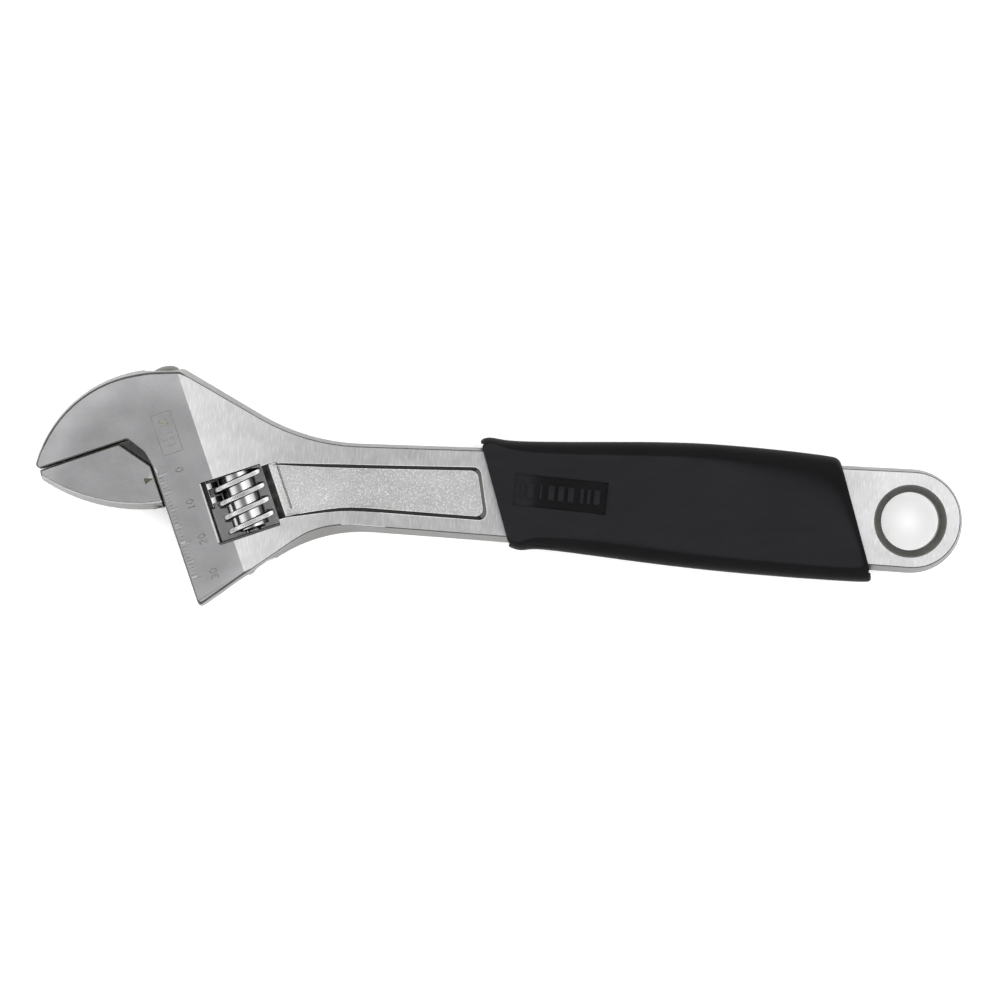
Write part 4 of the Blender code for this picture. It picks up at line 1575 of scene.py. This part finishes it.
@dataclass
class RubberGrip:
    """The moulded rubber sleeve with its recessed label panel.

    Attributes:
        frames: Where things are on the wrench.
        rubber: What it is made of.
        label_centre: The label's middle in the handle frame.
        label_half: Half its length and half its height.
        label_tilt: How far it is turned, in degrees.
        label_depth: How deep it is pressed in.
        bars: Where its plain bars start and end, from its middle.
        bar_half_height: Half their height.
        slopes: How far the walls of the label and of the bars lean inwards.
        bar_rise: How far the bars rise, in parts of the label's depth.
        label_margin: How far round the label the faces are cut.
    """

    frames: WrenchFrames
    rubber: RubberFinish = field(
        default_factory=lambda: RubberFinish("moulded_rubber", (0.0128, 0.0124, 0.0140), 0.55)
    )
    label_centre: tuple[float, float] = (-96.4, 1.6)
    label_half: tuple[float, float] = (12.8, 4.45)
    label_tilt: float = -2.4
    label_depth: float = 0.5
    bars: tuple[tuple[float, float], ...] = (
        (-11.0, -10.2), (-9.3, -7.4), (-5.8, -5.1), (-3.5, -1.7), (-0.8, 1.0), (1.9, 3.7), (5.3, 6.4),
        (7.2, 8.3), (9.1, 10.9),
    )
    bar_half_height: float = 2.1
    slopes: tuple[float, float] = (0.08, 0.10)
    bar_rise: float = 0.8
    label_margin: float = 4.0

    def build(self) -> bpy.types.Object:
        """Makes the sleeve and puts it in the CAD node's place.

        Returns:
            The finished sleeve.
        """
        grip = Bench.copy_of("grip", "rubber_sleeve")
        with Bench.editing(grip):
            bpy.ops.mesh.select_all(action="SELECT")
            bpy.ops.mesh.tris_convert_to_quads(
                face_threshold=math.radians(40), shape_threshold=math.radians(60)
            )
        Bench.apply(grip, "SUBSURF", levels=2, render_levels=2)
        self.press_label(grip)
        Bench.smooth(grip, 40.0)
        grip.data.materials.clear()
        grip.data.materials.append(self.rubber.material())
        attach(grip, "handle")
        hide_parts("grip")
        return grip

    def on_label(self, place: Vector) -> tuple[float, float]:
        """Where a place lies on the label.

        Args:
            place: The place, in metres.

        Returns:
            How far it is from the label's middle, along and across it.
        """
        x, y, _ = self.frames.in_handle(place)
        tilt = math.radians(self.label_tilt)
        x, y = x - self.label_centre[0], y - self.label_centre[1]
        return x * math.cos(tilt) + y * math.sin(tilt), y * math.cos(tilt) - x * math.sin(tilt)

    def press_label(self, grip: bpy.types.Object) -> None:
        """Presses the framed label into the top and raises plain bars in it.

        Args:
            grip: The sleeve.
        """
        half_length, half_height = self.label_half
        label_slope, bar_slope = self.slopes
        along = [-half_length, half_length] + [edge for bar in self.bars for edge in bar]
        across = [-half_height, half_height, -self.bar_half_height, self.bar_half_height]
        for offset in along:
            self.score(grip, (offset, 0.0), 0.0)
        for offset in across:
            self.score(grip, (0.0, offset), 90.0)
        with Bench.editing(grip):
            Bench.choose(grip, "FACE", self.within_label)
            bpy.ops.mesh.inset(thickness=label_slope * MM, depth=-self.label_depth * MM)
        with Bench.editing(grip):
            Bench.choose(grip, "FACE", self.within_bar)
            bpy.ops.mesh.inset(thickness=bar_slope * MM, depth=self.bar_rise * self.label_depth * MM)

    def within_label(self, face: bmesh.types.BMFace, margin: float = 0.0) -> bool:
        """Whether a face of the top lies within the label, or within a margin round it.

        Args:
            face: The face.
            margin: The margin.

        Returns:
            True if it does.
        """
        middle = face.calc_center_median()
        u, v = self.on_label(middle)
        half_length, half_height = self.label_half
        above = middle.z > self.frames.throat.z + 4.0 * MM
        return above and abs(u) < half_length + margin and abs(v) < half_height + margin

    def within_bar(self, face: bmesh.types.BMFace) -> bool:
        """Whether a face of the label lies within one of its bars.

        Args:
            face: The face.

        Returns:
            True if it does.
        """
        u, v = self.on_label(face.calc_center_median())
        inside = any(low < u < high for low, high in self.bars)
        return inside and abs(v) < self.bar_half_height and self.within_label(face)

    def score(self, grip: bpy.types.Object, offset: tuple[float, float], turn: float) -> None:
        """Cuts a line through the faces round the label.

        Args:
            grip: The sleeve.
            offset: Where the line passes, along and across the label.
            turn: 0 for a line across the label, 90 for one along it.
        """
        tilt = math.radians(self.label_tilt)
        u, v = offset
        x = self.label_centre[0] + u * math.cos(tilt) - v * math.sin(tilt)
        y = self.label_centre[1] + u * math.sin(tilt) + v * math.cos(tilt)
        facing = tilt + math.radians(turn)
        with Bench.editing(grip):
            Bench.choose(grip, "FACE", lambda face: self.within_label(face, self.label_margin))
            bpy.ops.mesh.bisect(
                plane_co=self.frames.handle(x, y), plane_no=(math.cos(facing), math.sin(facing), 0.0)
            )


# ---------------------------------------------------------------- studio


@dataclass
class Studio:
    """A pale floor that glows as painted light, soft light from all round and a long lens straight
    above.

    Attributes:
        frames: Where things are on the wrench.
        view_width: How much the camera sees across, at the floor.
        camera_height: How high the camera stands, in metres.
        view_turn: How far the camera is turned, in degrees.
        look_at: What it looks at, in the handle frame.
        sensor_width: The camera's sensor.
        floor_glow: How brightly the floor glows, as painted light.
        glow_reach: How near a piece must be to dim the glow, painting shadow round and under the wrench,
            in metres.
        sky: The room's light from the horizon to straight overhead, as (height, strength).
    """

    frames: WrenchFrames
    view_width: float = 274.2
    camera_height: float = 2.0
    view_turn: float = 3.5
    look_at: tuple[float, float] = (-112.92, -1.06)
    sensor_width: float = 36.0
    floor_glow: float = 0.5
    glow_reach: float = 0.009
    sky: tuple[tuple[float, float], ...] = ((0.2, 1.1), (0.5, 1.8), (0.8, 1.9), (0.9, 1.3), (0.96, 0.6))

    def build(self) -> None:
        """Sets up the floor, the light and the camera."""
        self.floor()
        self.surroundings()
        self.softbox("key_softbox", (0.42, 0.17, 0.95), (0.5, 0.5), 0.9)
        self.camera()

    def floor(self) -> None:
        """A pale floor under the wrench that glows as painted light, its glow dimmed near the pieces as
        painted shadow.
        """
        Bench.put_down()
        bpy.ops.mesh.primitive_plane_add(size=6.0, location=(0.0, 0.0, -0.0002))
        floor = bpy.context.active_object
        floor.name = "floor"
        Bench.settle(floor)
        sketch = Sketch("pale_floor_painted_glow")
        sketch.shader.inputs["Base Color"].default_value = (0.93, 0.93, 0.93, 1.0)
        sketch.shader.inputs["Roughness"].default_value = 0.9
        sketch.shader.inputs["Emission Color"].default_value = (1.0, 1.0, 1.0, 1.0)
        # Painted shadow: the glow fades where pieces close the floor in.
        sky = sketch.node("ShaderNodeAmbientOcclusion", samples=8)
        sky.inputs["Distance"].default_value = self.glow_reach
        glow = sketch.reckon("MULTIPLY", sky.outputs["AO"], self.floor_glow)
        sketch.link(glow, sketch.shader.inputs["Emission Strength"])
        floor.data.materials.append(sketch.material)

    def surroundings(self) -> None:
        """A white room that is darker straight overhead, where the camera stands."""
        world = bpy.data.worlds.new("white_room")
        world.use_nodes = True
        tree = world.node_tree
        background = tree.nodes["Background"]
        place = tree.nodes.new("ShaderNodeTexCoord")
        split = tree.nodes.new("ShaderNodeSeparateXYZ")
        ramp = tree.nodes.new("ShaderNodeValToRGB")
        tree.links.new(place.outputs["Generated"], split.inputs["Vector"])
        tree.links.new(split.outputs["Z"], ramp.inputs["Fac"])
        tree.links.new(ramp.outputs["Color"], background.inputs["Color"])
        stops = ramp.color_ramp.elements
        stops[0].position = 0.0
        stops[0].color = (0.7, 0.7, 0.71, 1.0)
        stops[1].position = 1.0
        stops[1].color = (0.36, 0.36, 0.363, 1.0)
        for position, level in self.sky:
            stop = stops.new(position)
            stop.color = (level, level, level, 1.0)
        background.inputs["Strength"].default_value = 1.0
        bpy.context.scene.world = world

    @staticmethod
    def softbox(name: str, place: Sequence[float], size: Sequence[float], power: float) -> None:
        """A rectangular lamp that faces the wrench.

        Args:
            name: The lamp's name.
            place: Where it stands, in metres.
            size: Its width and height, in metres.
            power: Its power in watts.
        """
        lamp = bpy.data.lights.new(name, "AREA")
        lamp.shape = "RECTANGLE"
        lamp.size, lamp.size_y = size
        lamp.energy = power
        stand = bpy.data.objects.new(name, lamp)
        stand.location = place
        stand.rotation_euler = (-Vector(place)).to_track_quat("-Z", "Y").to_euler()
        bpy.context.scene.collection.objects.link(stand)

    def camera(self) -> None:
        """The long lens, straight above and turned so that the handle falls to the right."""
        lens = bpy.data.cameras.new("long_lens")
        lens.sensor_width = self.sensor_width
        lens.lens = self.sensor_width * self.camera_height / (self.view_width * MM)
        lens.clip_start = 0.1
        lens.clip_end = 20.0
        camera = bpy.data.objects.new("long_lens", lens)
        centre = self.frames.handle(*self.look_at)
        camera.location = (centre.x, centre.y, self.camera_height + 2 * centre.z)
        camera.rotation_euler = (0.0, 0.0, math.radians(self.view_turn))
        bpy.context.scene.collection.objects.link(camera)
        bpy.context.scene.camera = camera
        bpy.context.scene.view_settings.view_transform = "Standard"


def main() -> None:
    """Builds the wrench piece by piece, then the studio."""
    logging.basicConfig(level=logging.INFO, format="%(name)s: %(message)s")
    FINISHES.update({zone: zone.value.material() for group in (SteelZone, FillZone) for zone in group})
    frames = WrenchFrames()
    for maker in (Forging, SlidingJaw, AdjustingWorm, WormAxle, RubberGrip):
        made = maker(frames).build()
        for piece in made if isinstance(made, list) else [made]:
            LOG.info("%s: %d faces", piece.name, len(piece.data.polygons))
    Studio(frames).build()


if __name__ == "__main__":
    main()
